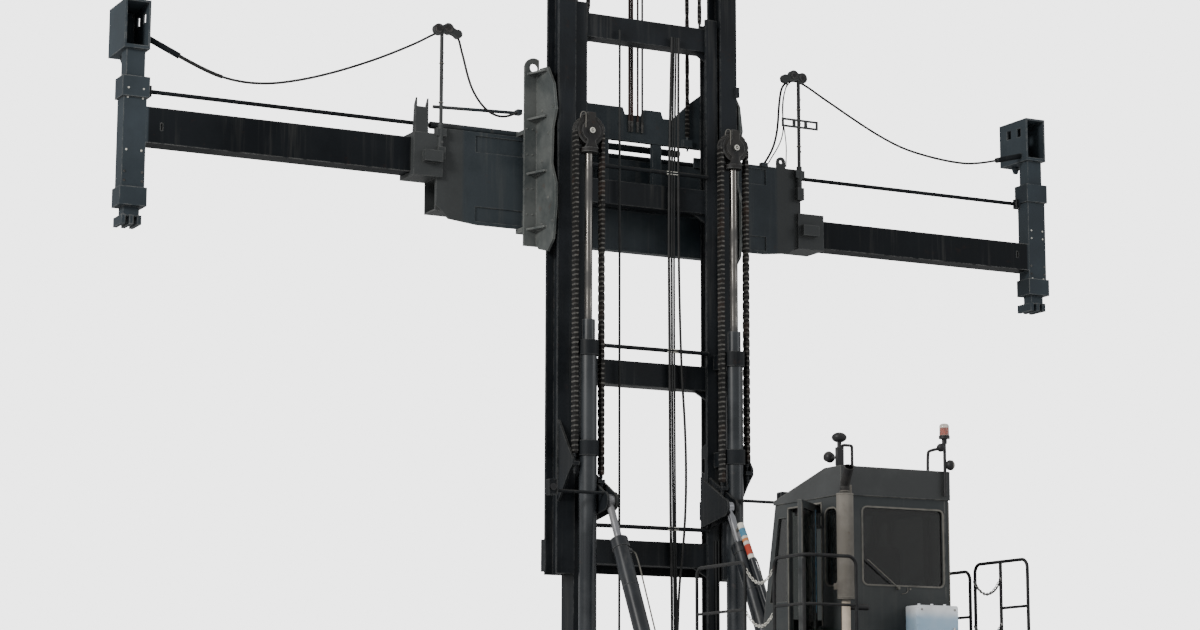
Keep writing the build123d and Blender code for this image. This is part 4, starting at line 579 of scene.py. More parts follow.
class Palette:
    """Makes each finish's material once and puts it on pieces."""

    EDGE_RADIUS = 0.020
    """Width of the band along an edge where paint is rubbed off."""

    RUST: Colour = (0.055, 0.024, 0.012)
    SOFT_DUST: Colour = (0.09, 0.086, 0.078)
    GLASS_FILM: Colour = (0.10, 0.10, 0.09)

    METALS: dict[Finish, Metal] = {
        Finish.ROD: Metal((0.24, 0.245, 0.26), (0.16, 0.16, 0.165), rough=0.16, metallic=1.0, patch=3.0),
        # The lift rods' chrome is a darker copy of the rod chrome: a painted dark reflection of their
        # surroundings.
        Finish.LIFT_ROD: Metal(
            (0.135, 0.128, 0.118), (0.060, 0.058, 0.056), rough=0.20, metallic=1.0, patch=2.0),
        Finish.ZINC: Metal((0.55, 0.55, 0.53), (0.22, 0.21, 0.20), rough=0.35, metallic=0.8, patch=12.0),
    }

    SOFTS: dict[Finish, Soft] = {
        Finish.TYRE: Soft((0.016, 0.016, 0.016), (0.045, 0.043, 0.040), rough=0.75, grain=30.0, relief=0.4),
        Finish.HOSE: Soft((0.010, 0.010, 0.010), (0.024, 0.024, 0.024), rough=0.45, grain=90.0, relief=0.1),
        Finish.GREY_HOSE: Soft(
            (0.010, 0.011, 0.0115), (0.022, 0.023, 0.023), rough=0.6, grain=90.0, relief=0.1),
        Finish.RED_HOSE: Soft(
            (0.030, 0.014, 0.012), (0.030, 0.022, 0.020), rough=0.6, grain=90.0, relief=0.1),
        Finish.SEAT: Soft((0.030, 0.032, 0.036), (0.050, 0.052, 0.056), rough=0.9, grain=220.0, relief=0.5),
    }

    CLEARS: dict[Finish, Clear] = {
        Finish.GLASS: Clear((0.070, 0.077, 0.075), rough=0.03, through=0.93),
        Finish.LENS: Clear((0.90, 0.84, 0.74), rough=0.06, through=0.92),
        Finish.CLEAR: Clear((0.70, 0.72, 0.72), rough=0.12, through=0.55),
        Finish.RED: Clear((0.22, 0.012, 0.010), rough=0.25, through=0.05),
    }

    PAINTS: dict[Finish, Paint] = {
        Finish.MAST: Paint(
            (0.0040, 0.0052, 0.0066), (0.0100, 0.0121, 0.0146), rough=0.5, wear=0.4, streak=0.22,
            settle=0.35, rust=0.10, gloss=0.14),
        Finish.CARRIAGE: Paint(
            (0.042, 0.048, 0.048), (0.080, 0.086, 0.083), (0.26, 0.26, 0.245), rough=0.55, wear=0.6,
            streak=0.35, rust=0.25, blotch=2.2),
        Finish.SPREADER: Paint(
            (0.011, 0.016, 0.020), (0.028, 0.035, 0.040), rough=0.5, wear=0.45, streak=0.3, rust=0.15,
            blotch=1.0, settle=0.25, zone=Zone("X", 2.06, 0.05, (0.024, 0.026, 0.0265))),
        Finish.ARM: Paint(
            (0.0030, 0.0040, 0.0052), (0.0070, 0.0085, 0.0102), rough=0.55, wear=0.9, streak=0.2,
            settle=0.12, rust=0.10, blotch=0.8, gloss=0.08,
            zone=Zone("X", 5.80, 0.03, (0.0215, 0.0275, 0.0325))),
        Finish.HEAD: Paint(
            (0.010, 0.010, 0.0105), (0.022, 0.021, 0.020), rough=0.5, wear=0.6, rust=0.2, blotch=5.0,
            relief=0.3),
        Finish.CAB: Paint(
            (0.0250, 0.0290, 0.0305), (0.040, 0.0430, 0.0430), (0.17, 0.165, 0.15), rough=0.4, wear=0.55,
            streak=0.22, settle=0.35, rust=0.06, blotch=1.1, relief=0.05,
            zone=Zone("Z", 4.60, 0.05, (0.0345, 0.0365, 0.0370))),
        Finish.CAB_INNER: Paint(
            (0.040, 0.042, 0.042), (0.060, 0.062, 0.060), rough=0.7, wear=0.2, streak=0.1, settle=0.3,
            rust=0.0),
        Finish.SEAT_SHELL: Paint(
            (0.012, 0.012, 0.013), (0.022, 0.022, 0.023), rough=0.6, wear=0.3, streak=0.05, settle=0.3,
            rust=0.0, relief=0.2),
        Finish.DECK: Paint(
            (0.020, 0.021, 0.021), (0.045, 0.045, 0.042), rough=0.6, wear=0.6, streak=0.2, settle=0.6,
            rust=0.25, blotch=3.0, relief=0.3),
        Finish.RAIL: Paint(
            (0.006, 0.0065, 0.0075), (0.014, 0.0145, 0.015), rough=0.4, wear=0.35, streak=0.1, settle=0.25,
            rust=0.12, blotch=4.0, relief=0.04),
        Finish.CHASSIS: Paint(
            (0.009, 0.010, 0.011), (0.022, 0.024, 0.025), rough=0.5, wear=0.5, streak=0.35, settle=0.5,
            rust=0.22),
        Finish.BALLAST: Paint(
            (0.014, 0.016, 0.018), (0.030, 0.032, 0.034), rough=0.55, wear=0.4, streak=0.45, settle=0.5,
            rust=0.15, relief=0.35),
        # Near-black matt paint: painted shade, for the inside of the exhaust's open end.
        Finish.HOLE: Paint(
            (0.0012, 0.0012, 0.0012), (0.0020, 0.0019, 0.0018), rough=0.95, wear=0.1, streak=0.0,
            settle=0.0, rust=0.0, relief=0.05, gloss=0.0),
        Finish.TILT: Paint(
            (0.0045, 0.0062, 0.0086), (0.011, 0.014, 0.018), rough=0.28, wear=0.5, streak=0.3, settle=0.05,
            rust=0.08, relief=0.05, gloss=0.40),
        Finish.CYLINDER: Paint(
            (0.0090, 0.0112, 0.0138), (0.023, 0.0265, 0.030), rough=0.26, wear=0.45, streak=0.3,
            settle=0.3, rust=0.12, relief=0.05, gloss=0.35),
        Finish.RIM: Paint(
            (0.15, 0.15, 0.145), (0.24, 0.235, 0.22), (0.14, 0.10, 0.08), rough=0.5, wear=0.7, streak=0.3,
            rust=0.4),
        Finish.LAMP: Paint(
            (0.006, 0.006, 0.007), (0.012, 0.012, 0.013), rough=0.45, wear=0.2, streak=0.1, settle=0.3,
            rust=0.0, relief=0.05, gloss=0.3),
        # The control cabinet's near-white top band is partly its white paint and partly a painted reflection
        # of the sky.
        Finish.CABINET: Paint(
            (0.27, 0.40, 0.53), (0.36, 0.47, 0.57), (0.30, 0.30, 0.30), (0.42, 0.42, 0.40), rough=0.45,
            wear=0.3, streak=0.4, settle=0.3, rust=0.05, relief=0.05,
            zone=Zone("Z", 3.42, 0.12, (0.58, 0.60, 0.62))),
        Finish.EXHAUST: Paint(
            (0.100, 0.092, 0.080), (0.150, 0.140, 0.124), (0.20, 0.19, 0.17), rough=0.7, wear=0.5,
            streak=0.4, settle=0.2, rust=0.35, blotch=3.0, relief=0.2,
            zone=Zone("Z", 3.55, 0.04, (0.36, 0.31, 0.25), True)),
        Finish.TAPE_ORANGE: Paint(
            (0.50, 0.16, 0.04), (0.42, 0.18, 0.08), (0.40, 0.38, 0.34), rough=0.6, wear=0.8, rust=0.0),
        Finish.TAPE_WHITE: Paint(
            (0.62, 0.61, 0.54), (0.46, 0.45, 0.40), (0.30, 0.30, 0.30), rough=0.6, wear=0.8, streak=0.4,
            rust=0.0),
        Finish.TAPE_BLUE: Paint(
            (0.05, 0.17, 0.27), (0.08, 0.20, 0.28), (0.25, 0.25, 0.25), rough=0.6, wear=0.8, rust=0.0),
        Finish.TAPE_RED: Paint(
            (0.38, 0.040, 0.02), (0.30, 0.05, 0.03), (0.35, 0.33, 0.30), rough=0.6, wear=0.8, rust=0.0),
        Finish.GASKET: Paint(
            (0.075, 0.073, 0.065), (0.125, 0.120, 0.106), (0.25, 0.24, 0.22), rough=0.7, wear=0.5,
            streak=0.3, settle=0.3, rust=0.0, blotch=4.0, relief=0.05),
    }

    def __init__(self) -> None:
        """Makes the shared effects."""
        self.effects = Effects()
        self.made: dict[Finish, bpy.types.Material] = {}

    def get(self, finish: Finish) -> bpy.types.Material:
        """Returns a finish's material.

        Args:
            finish: Which finish.

        Returns:
            Its material, made at the first call.
        """
        if finish in self.made:
            return self.made[finish]
        if finish in self.PAINTS:
            material = self._painted(finish, self.PAINTS[finish])
        elif finish in self.METALS:
            material = self._metal(finish, self.METALS[finish])
        elif finish in self.SOFTS:
            material = self._soft(finish, self.SOFTS[finish])
        elif finish in self.CLEARS:
            material = self._clear(finish, self.CLEARS[finish])
        elif finish is Finish.CHAIN:
            material = self._chain(finish, LeafChain())
        else:
            material = self._floor(finish)
        self.made[finish] = material
        LOG.info("material %s", finish.value)
        return material

    def coat(self, obj: bpy.types.Object, finish: Finish) -> None:
        """Puts a finish on an object.

        Args:
            obj: The object.
            finish: The finish for all of it.
        """
        material = self.get(finish)
        if not obj.data.materials:
            obj.data.materials.append(material)
        for index in range(len(obj.material_slots)):
            obj.material_slots[index].material = material

    def coat_nodes(self, names: Iterable[str], finish: Finish) -> None:
        """Puts a finish on CAD nodes.

        Args:
            names: The nodes.
            finish: The finish for all of them.
        """
        for name in names:
            self.coat(frame["nodes"][name], finish)
            LOG.info("node %s: %s", name, finish.value)

    def _start(self, finish: Finish) -> tuple[bpy.types.Material, Shader, bpy.types.Node]:
        """Starts a material.

        Args:
            finish: Which finish.

        Returns:
            The material, its builder and its Principled shader.
        """
        material = bpy.data.materials.new("look_" + finish.value)
        material.use_nodes = True
        shader = Shader(material.node_tree)
        surface = material.node_tree.nodes["Principled BSDF"]
        return material, shader, surface

    def _effect(self, s: Shader, group: bpy.types.NodeTree, **values: object) -> bpy.types.Node:
        """Adds a shared effect to a material.

        Args:
            s: The material's builder.
            group: The effect's group.
            **values: Its inputs, with spaces as underscores.

        Returns:
            The group node.
        """
        node = s.add("ShaderNodeGroup", node_tree=group)
        for name, value in values.items():
            s.put(value, node.inputs[name.replace("_", " ")])
        return node

    def _painted(self, finish: Finish, paint: Paint) -> bpy.types.Material:
        """Makes a painted steel finish.

        Args:
            finish: Which finish.
            paint: Its colours and wear.

        Returns:
            The material.
        """
        material, s, surface = self._start(finish)
        fx = self.effects
        blotch = self._effect(s, fx.patches, Scale=paint.blotch, Low=0.38, High=0.66).outputs["Mask"]
        colour = s.mix(blotch, paint.base, paint.faded)
        streak = self._effect(s, fx.streaks, Scale=1.0, Amount=paint.streak).outputs["Mask"]
        colour = s.mix(streak, colour, paint.dust)
        spots = self._effect(s, fx.patches, Scale=7.0, Low=0.62, High=0.72).outputs["Mask"]
        rust = s.math("MULTIPLY", spots, paint.rust)
        colour = s.mix(rust, colour, self.RUST)
        if paint.zone is not None:
            colour = self._zoned(s, paint.zone, colour, blotch)
        edge = self._effect(s, fx.edges, Radius=self.EDGE_RADIUS, Amount=paint.wear).outputs["Mask"]
        colour = s.mix(edge, colour, paint.bare)
        dust = self._effect(s, fx.settled, Scale=3.0, Amount=paint.settle).outputs["Mask"]
        colour = s.mix(dust, colour, paint.dust)
        s.put(colour, surface.inputs["Base Color"])
        rough = s.blend(blotch, paint.rough, min(1.0, paint.rough + 0.15))
        rough = s.blend(s.math("MAXIMUM", dust, rust), rough, 0.9)
        s.put(rough, surface.inputs["Roughness"])
        s.put(s.math("MULTIPLY", edge, 0.5), surface.inputs["Metallic"])
        grain = self._effect(s, fx.grain, Scale=45.0, Strength=paint.relief, Depth=0.003)
        s.put(grain.outputs["Normal"], surface.inputs["Normal"])
        surface.inputs["Specular IOR Level"].default_value = paint.gloss
        return material

    def _zoned(self, s: Shader, zone: Zone, colour: object, blotch: object) -> Socket:
        """Gives part of a piece another tone.

        Args:
            s: The material's builder.
            zone: Which part and which tone.
            colour: Colour outside the zone.
            blotch: Mask of the paler blotches.

        Returns:
            The colour's socket.
        """
        parts = s.add("ShaderNodeSeparateXYZ")
        s.put(s.add("ShaderNodeTexCoord").outputs["Object"], parts.inputs[0])
        away = s.math("ABSOLUTE", parts.outputs[zone.axis])
        mask = s.band(away, zone.start, zone.start + zone.width)
        if zone.below:
            mask = s.math("SUBTRACT", 1.0, mask)
        paler = tuple(min(1.0, value * 1.5) for value in zone.colour)
        return s.mix(mask, colour, s.mix(blotch, zone.colour, paler))

    def _metal(self, finish: Finish, metal: Metal) -> bpy.types.Material:
        """Makes a bare metal finish with dirt in patches.

        Args:
            finish: Which finish.
            metal: Its colours and roughness.

        Returns:
            The material.
        """
        material, s, surface = self._start(finish)
        fx = self.effects
        blotch = self._effect(s, fx.patches, Scale=metal.patch, Low=0.40, High=0.62).outputs["Mask"]
        s.put(s.mix(blotch, metal.light, metal.dark), surface.inputs["Base Color"])
        s.put(s.blend(blotch, metal.rough, min(1.0, metal.rough + 0.35)), surface.inputs["Roughness"])
        s.put(s.blend(blotch, metal.metallic, metal.metallic * 0.4), surface.inputs["Metallic"])
        surface.inputs["Specular IOR Level"].default_value = 0.25
        grain = self._effect(s, fx.grain, Scale=80.0, Strength=0.1, Depth=0.002)
        s.put(grain.outputs["Normal"], surface.inputs["Normal"])
        return material

    def _chain(self, finish: Finish, chain: LeafChain) -> bpy.types.Material:
        """Makes the greased leaf chain.

        Args:
            finish: Which finish.
            chain: Its pitch and colours.

        Returns:
            The material.
        """
        material, s, surface = self._start(finish)
        fx = self.effects
        parts = s.add("ShaderNodeSeparateXYZ")
        s.put(s.add("ShaderNodeTexCoord").outputs["Object"], parts.inputs[0])
        # Lighter rows at each pitch are a painted highlight on the link ends, brightest in worn patches.
        wave = s.math("SINE", s.math("MULTIPLY", parts.outputs["Z"], 2 * math.pi / chain.pitch))
        sheen_rows = s.band(wave, low=0.15, high=0.75)
        worn = self._effect(s, fx.patches, Scale=16.0, Low=0.35, High=0.60).outputs["Mask"]
        colour = s.mix(sheen_rows, chain.gap, s.mix(worn, chain.greased, chain.worn))
        spots = self._effect(s, fx.patches, Scale=3.0, Low=0.50, High=0.72).outputs["Mask"]
        s.put(s.mix(s.math("MULTIPLY", spots, 0.45), colour, chain.rust), surface.inputs["Base Color"])
        s.put(s.blend(sheen_rows, 0.7, 0.42), surface.inputs["Roughness"])
        s.put(s.math("MULTIPLY", sheen_rows, 0.4), surface.inputs["Metallic"])
        surface.inputs["Specular IOR Level"].default_value = 0.2
        bump = s.add("ShaderNodeBump")
        bump.inputs["Strength"].default_value = 0.6
        bump.inputs["Distance"].default_value = chain.stand
        s.put(sheen_rows, bump.inputs["Height"])
        s.put(bump.outputs[0], surface.inputs["Normal"])
        return material

    def _soft(self, finish: Finish, soft: Soft) -> bpy.types.Material:
        """Makes rubber, plastic or cloth.

        Args:
            finish: Which finish.
            soft: Its colours and grain.

        Returns:
            The material.
        """
        material, s, surface = self._start(finish)
        fx = self.effects
        blotch = self._effect(s, fx.patches, Scale=4.0, Low=0.40, High=0.70).outputs["Mask"]
        dust = self._effect(s, fx.settled, Scale=6.0, Amount=0.4).outputs["Mask"]
        colour = s.mix(blotch, soft.base, soft.worn)
        s.put(s.mix(dust, colour, self.SOFT_DUST), surface.inputs["Base Color"])
        surface.inputs["Specular IOR Level"].default_value = 0.2
        s.put(s.blend(blotch, soft.rough, min(1.0, soft.rough + 0.12)), surface.inputs["Roughness"])
        grain = self._effect(s, fx.grain, Scale=soft.grain, Strength=soft.relief, Depth=0.004)
        s.put(grain.outputs["Normal"], surface.inputs["Normal"])
        return material

    def _clear(self, finish: Finish, clear: Clear) -> bpy.types.Material:
        """Makes a glass or lens finish with a film of dirt.

        Args:
            finish: Which finish.
            clear: Its tint and clearness.

        Returns:
            The material.
        """
        material, s, surface = self._start(finish)
        fx = self.effects
        film = self._effect(s, fx.patches, Scale=3.0, Low=0.35, High=0.75).outputs["Mask"]
        thin = s.math("MULTIPLY", film, 0.25)
        s.put(s.mix(thin, clear.tint, self.GLASS_FILM), surface.inputs["Base Color"])
        surface.inputs["Specular IOR Level"].default_value = 0.3
        s.put(s.blend(film, clear.rough, clear.rough + 0.12), surface.inputs["Roughness"])
        surface.inputs["Transmission Weight"].default_value = clear.through
        surface.inputs["IOR"].default_value = 1.45
        grain = self._effect(s, fx.grain, Scale=6.0, Strength=0.01, Depth=0.001)
        s.put(grain.outputs["Normal"], surface.inputs["Normal"])
        return material

    def _floor(self, finish: Finish) -> bpy.types.Material:
        """Makes the pale plain floor.

        Args:
            finish: Which finish.

        Returns:
            The material.
        """
        material, s, surface = self._start(finish)
        tone = self._effect(s, self.effects.patches, Scale=0.3, Low=0.3, High=0.7).outputs["Mask"]
        s.put(s.mix(tone, (0.80, 0.80, 0.80), (0.76, 0.76, 0.76)), surface.inputs["Base Color"])
        surface.inputs["Roughness"].default_value = 0.9
        return material


class Kit:
    """Makes small meshes and joins them into named pieces.

    Points are given from the mast plane, and `finish` and `line` move them into the shared frame.
    """

    SHARP = math.radians(40)
    """Faces that meet at a wider angle than this keep a sharp edge."""

    CORNER_STEPS = 4
    """Steps round each corner of a strip."""

    SUNK = 0.002
    """How deep a bolt head starts below its face."""

    MERGE = 0.0005
    """Points of a tube's sections that lie closer than this become one."""

    def __init__(self, palette: Palette) -> None:
        """Keeps the palette that coats new pieces.

        Args:
            palette: The finishes.
        """
        self.palette = palette

    @staticmethod
    def frame_of(direction: Vector) -> Matrix:
        """Returns a rotation whose Z axis is a direction.

        Args:
            direction: The wanted Z axis.

        Returns:
            The rotation as a 4 x 4 matrix.
        """
        return direction.to_track_quat("Z", "Y").to_matrix().to_4x4()

    def cylinder(self, mesh: Mesh, a: Point, b: Point, radius: float, sides: int = 16,
                 far: float | None = None) -> None:
        """Adds a cylinder or cone between two points.

        Args:
            mesh: Mesh to add to.
            a: One end.
            b: Other end.
            radius: Radius at the first end.
            sides: Faces round it.
            far: Radius at the other end, if different.
        """
        start, stop = Vector(a), Vector(b)
        axis = stop - start
        matrix = Matrix.Translation((start + stop) / 2) @ self.frame_of(axis)
        bmesh.ops.create_cone(mesh, cap_ends=True, segments=sides, radius1=radius,
                              radius2=radius if far is None else far, depth=axis.length, matrix=matrix)

    @staticmethod
    def block(mesh: Mesh, low: Point, high: Point, bevel: float = 0.0) -> None:
        """Adds a box between two corners.

        Args:
            mesh: Mesh to add to.
            low: Lowest corner.
            high: Highest corner.
            bevel: Width of its broken edges.
        """
        low_v, high_v = Vector(low), Vector(high)
        matrix = Matrix.Translation((low_v + high_v) / 2) @ Matrix.Diagonal((*(high_v - low_v), 1.0))
        made = bmesh.ops.create_cube(mesh, size=1.0, matrix=matrix)
        if bevel > 0.0:
            edges = list({edge for vert in made["verts"] for edge in vert.link_edges})
            bmesh.ops.bevel(mesh, geom=edges, offset=bevel, segments=1, affect="EDGES")

    def torus(self, mesh: Mesh, centre: Point, axis: Point, radius: float, tube: float,
              around: int = 20, section: int = 6, stretch: float = 1.0) -> None:
        """Adds a ring.

        Args:
            mesh: Mesh to add to.
            centre: Its centre.
            axis: Its axis.
            radius: Radius of its centreline.
            tube: Radius of its section.
            around: Steps round it.
            section: Steps round its section.
            stretch: Length of a link over its width.
        """
        turn = Matrix.Translation(Vector(centre)) @ self.frame_of(Vector(axis))
        rings = []
        for i in range(around):
            a = 2 * math.pi * i / around
            row = []
            for k in range(section):
                b = 2 * math.pi * k / section
                far = radius + tube * math.cos(b)
                spot = Vector((far * math.cos(a) * stretch, far * math.sin(a), tube * math.sin(b)))
                row.append(mesh.verts.new(turn @ spot))
            rings.append(row)
        for i in range(around):
            here, there = rings[i], rings[(i + 1) % around]
            for k in range(section):
                n = (k + 1) % section
                mesh.faces.new((here[k], there[k], there[n], here[n]))

    def band(self, mesh: Mesh, centre: Point, across: Point, up: Point,
             half: tuple[float, float], corner: float, width: float, thick: float) -> None:
        """Adds a rounded rectangular strip, such as a window rubber.

        Args:
            mesh: Mesh to add to.
            centre: Its centre, on the face that it lies on.
            across: Direction of its first half size.
            up: Direction of its second half size.
            half: Its half sizes, to the strip's middle.
            corner: Radius of its corners.
            width: Width of the strip.
            thick: How far it stands out, along across x up.
        """
        a, b, middle = Vector(across).normalized(), Vector(up).normalized(), Vector(centre)
        out = a.cross(b)
        loops = []
        for grow, rise in ((width / 2, 0.0), (width / 2, thick), (-width / 2, thick), (-width / 2, 0.0)):
            loop = []
            for quarter, (sx, sy) in enumerate(((1, 1), (-1, 1), (-1, -1), (1, -1))):
                for step in range(self.CORNER_STEPS + 1):
                    angle = math.pi / 2 * (quarter + step / self.CORNER_STEPS)
                    reach = corner + grow
                    x = sx * (half[0] - corner) + reach * math.cos(angle)
                    y = sy * (half[1] - corner) + reach * math.sin(angle)
                    loop.append(mesh.verts.new(middle + a * x + b * y + out * rise))
            loops.append(loop)
        count = len(loops[0])
        for ring in range(4):
            here, there = loops[ring], loops[(ring + 1) % 4]
            for k in range(count):
                n = (k + 1) % count
                mesh.faces.new((here[k], here[n], there[n], there[k]))

    @staticmethod
    def seat(node: str, start: Point, direction: Point) -> Point:
        """Finds where a line from a point first meets a CAD node.

        Args:
            node: The node.
            start: Where the line starts.
            direction: Which way it goes.

        Returns:
            The point on the node, or the start if the line misses it.
        """
        inward = Vector(direction).normalized()
        found, spot, _, _ = frame["nodes"][node].ray_cast(Vector(place(*start)), inward)
        if not found:
            LOG.info("no surface of %s from %s", node, start)
            return start
        return (spot.x, spot.y - MAST_PLANE, spot.z)

    def bolts(self, mesh: Mesh, node: str, starts: Sequence[Point], direction: Point,
              radius: float, washer: bool = True) -> None:
        """Adds hexagonal bolt heads where lines meet a node.

        Args:
            mesh: Mesh to add to.
            node: The node that they are screwed into.
            starts: Where each line starts.
            direction: Which way the lines go.
            radius: Radius of the heads.
            washer: Puts a washer under each head.
        """
        inward = Vector(direction).normalized()
        for start in starts:
            spot = Vector(self.seat(node, start, direction))
            if (spot - Vector(start)).length < 1e-6:
                continue
            foot = tuple(spot + inward * self.SUNK)
            if washer:
                self.cylinder(mesh, foot, tuple(spot - inward * radius * 0.25), radius * 1.5, 14)
            self.cylinder(mesh, foot, tuple(spot - inward * radius * 0.95), radius, 6)

    def bars(self, mesh: Mesh, rods: Iterable[Rod]) -> None:
        """Adds a round bar for each row of a table.

        Args:
            mesh: Mesh to add to.
            rods: The table.
        """
        for a, b, radius, sides in rods:
            self.cylinder(mesh, a, b, radius, sides)

    @staticmethod
    def dome(mesh: Mesh, centre: Point, radii: Point) -> None:
        """Adds a rounded lamp body.

        Args:
            mesh: Mesh to add to.
            centre: Its centre.
            radii: Half its size along X, Y and Z.
        """
        matrix = Matrix.Translation(Vector(centre)) @ Matrix.Diagonal((*radii, 1.0))
        bmesh.ops.create_uvsphere(mesh, u_segments=24, v_segments=14, radius=1.0, matrix=matrix)

    def links(self, mesh: Mesh, a: Point, b: Point, sag: float, pitch: float = 0.034,
              wire: float = 0.0045) -> None:
        """Adds a hanging chain of oval links.

        Args:
            mesh: Mesh to add to.
            a: One end.
            b: Other end.
            sag: How far its middle hangs below the ends.
            pitch: Length from link to link.
            wire: Radius of the links' wire.
        """
        start, stop = Vector(a), Vector(b)
        span = (stop - start).length
        count = max(4, round((span + 2.6 * sag * sag / span) / pitch))
        spots = [start.lerp(stop, i / count) - Vector((0, 0, 4 * sag * (i / count) * (1 - i / count)))
                 for i in range(count + 1)]
        for i in range(count):
            along = (spots[i + 1] - spots[i]).normalized()
            side = along.cross(Vector((0, 0, 1))).normalized()
            if i % 2:
                side = along.cross(side).normalized()
            middle = (spots[i] + spots[i + 1]) / 2
            turn = Matrix((along, side.cross(along), side)).transposed().to_4x4()
            fresh = bmesh.new()
            self.torus(fresh, (0, 0, 0), (0, 0, 1), pitch * 0.40, wire, 10, 5, 1.45)
            fresh.transform(Matrix.Translation(middle) @ turn)
            holder = bpy.data.meshes.new("link")
            fresh.to_mesh(holder)
            fresh.free()
            mesh.from_mesh(holder)
            bpy.data.meshes.remove(holder)

    def finish(self, mesh: Mesh, name: str, body: str, finish: Finish) -> bpy.types.Object:
        """Turns a mesh into a piece that rides on a body.

        Args:
            mesh: The finished mesh.
            name: The piece's name.
            body: The CAD body that carries it.
            finish: Its finish.

        Returns:
            The new object.
        """
        data = bpy.data.meshes.new(name)
        bmesh.ops.translate(mesh, verts=mesh.verts, vec=(0.0, MAST_PLANE, 0.0))
        bmesh.ops.recalc_face_normals(mesh, faces=mesh.faces)
        mesh.to_mesh(data)
        mesh.free()
        piece = bpy.data.objects.new(name, data)
        bpy.context.scene.collection.objects.link(piece)
        for polygon in data.polygons:
            polygon.use_smooth = True
        data.set_sharp_from_angle(angle=self.SHARP)
        self.palette.coat(piece, finish)
        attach(piece, body)
        LOG.info("piece %s on %s, %d faces", name, body, len(data.polygons))
        return piece

    def line(self, name: str, body: str, points: Sequence[Point], radius: float,
             finish: Finish) -> bpy.types.Object:
        """Makes a hose or pipe along a smooth curve.

        Args:
            name: The piece's name.
            body: The CAD body that carries it.
            points: Its route.
            radius: Its radius.
            finish: Its finish.

        Returns:
            The curve object.
        """
        data = bpy.data.curves.new(name, "CURVE")
        data.dimensions = "3D"
        data.bevel_depth = radius
        data.bevel_resolution = 3
        data.use_fill_caps = True
        spline = data.splines.new("NURBS")
        spline.points.add(len(points) - 1)
        for index, point in enumerate(points):
            spline.points[index].co = (*place(*point), 1.0)
        spline.order_u = 3
        spline.use_endpoint_u = True
        spline.resolution_u = 8
        piece = bpy.data.objects.new(name, data)
        bpy.context.scene.collection.objects.link(piece)
        self.palette.coat(piece, finish)
        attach(piece, body)
        LOG.info("line %s on %s, %.3f m", name, body, spline.calc_length())
        return piece


@dataclass(frozen=True)
class PhotoCamera:
    """The camera that took the photograph.

    Attributes:
        spot: Where it stands, in the shared frame.
        lens: Focal length for its sensor, in millimetres.
        sensor: Width of the sensor, in millimetres.
        reach: How far it sees.
        axes: Its right, up and back directions, one after another.
    """

    spot: Point = place(-15.1517, -27.9612, 1.85)
    lens: float = 84.33
    sensor: float = 36.0
    reach: float = 200.0
    axes: tuple[Point, Point, Point] = ((0.8874, -0.4610, 0.0021), (-0.0778, -0.1454, 0.9863),
                                        (-0.4544, -0.8754, -0.1649))

    def build(self) -> bpy.types.Object:
        """Makes the scene's camera.

        Returns:
            The camera object.
        """
        data = bpy.data.cameras.new("photo_camera")
        data.lens = self.lens
        data.sensor_width = self.sensor
        data.clip_end = self.reach
        camera = bpy.data.objects.new("photo_camera", data)
        bpy.context.scene.collection.objects.link(camera)
        rotation = Matrix(self.axes).transposed().to_4x4()
        camera.matrix_world = Matrix.Translation(self.spot) @ rotation
        bpy.context.scene.camera = camera
        LOG.info("camera at %s, %.2f mm", self.spot, self.lens)
        return camera


@dataclass(frozen=True)
class SoftLight:
    """A square lamp with a soft edge to its shadows.

    Attributes:
        name: Its name.
        spot: Where it stands, in the shared frame.
        power: Its power in watts.
        size: Length of its sides.
        tint: Its colour.
        aim: What it points at.
    """

    name: str
    spot: Point
    power: float
    size: float
    tint: Colour
    aim: Point = (0.0, 1.0, 6.0)

    def build(self) -> None:
        """Makes the lamp."""
        lamp = bpy.data.lights.new(self.name, "AREA")
        lamp.energy = self.power
        lamp.size = self.size
        lamp.color = self.tint
        holder = bpy.data.objects.new(self.name, lamp)
        bpy.context.scene.collection.objects.link(holder)
        holder.location = self.spot
        way = Vector(self.aim) - Vector(self.spot)
        holder.rotation_euler = way.to_track_quat("-Z", "Y").to_euler()
        LOG.info("light %s, %.0f W", self.name, self.power)


@dataclass(frozen=True)
class Studio:
    """Floor and lights.

    Attributes:
        floor: Half size of the floor.
        sky: Strength of the even light from all round.
        backdrop: Brightness of the plain surroundings where the picture shows them.
        lights: The soft lights.
    """

    floor: float = 60.0
    sky: float = 0.80
    backdrop: float = 3.6
    lights: tuple[SoftLight, ...] = (
        SoftLight("key", (-24.0, -8.0, 17.0), power=6500.0, size=6.0, tint=(1.0, 0.98, 0.95)),
        SoftLight("fill", (20.0, -14.0, 14.0), power=1400.0, size=12.0, tint=(0.94, 0.97, 1.0)),
    )

    def build(self, palette: Palette) -> None:
        """Makes the floor, the even surrounding light and the soft lights.

        Args:
            palette: The finishes.
        """
        data = bpy.data.meshes.new("floor")
        h = self.floor
        data.from_pydata([(-h, -h, 0), (h, -h, 0), (h, h, 0), (-h, h, 0)], [], [(0, 1, 2, 3)])
        floor = bpy.data.objects.new("floor", data)
        bpy.context.scene.collection.objects.link(floor)
        palette.coat(floor, Finish.FLOOR)
        world = bpy.data.worlds.new("studio")
        bpy.context.scene.world = world
        world.use_nodes = True
        background = world.node_tree.nodes["Background"]
        background.inputs["Color"].default_value = (1.0, 1.0, 1.0, 1.0)
        shader = Shader(world.node_tree)
        seen = shader.add("ShaderNodeLightPath").outputs["Is Camera Ray"]
        shader.put(shader.blend(seen, self.sky, self.backdrop), background.inputs["Strength"])
        for light in self.lights:
            light.build()


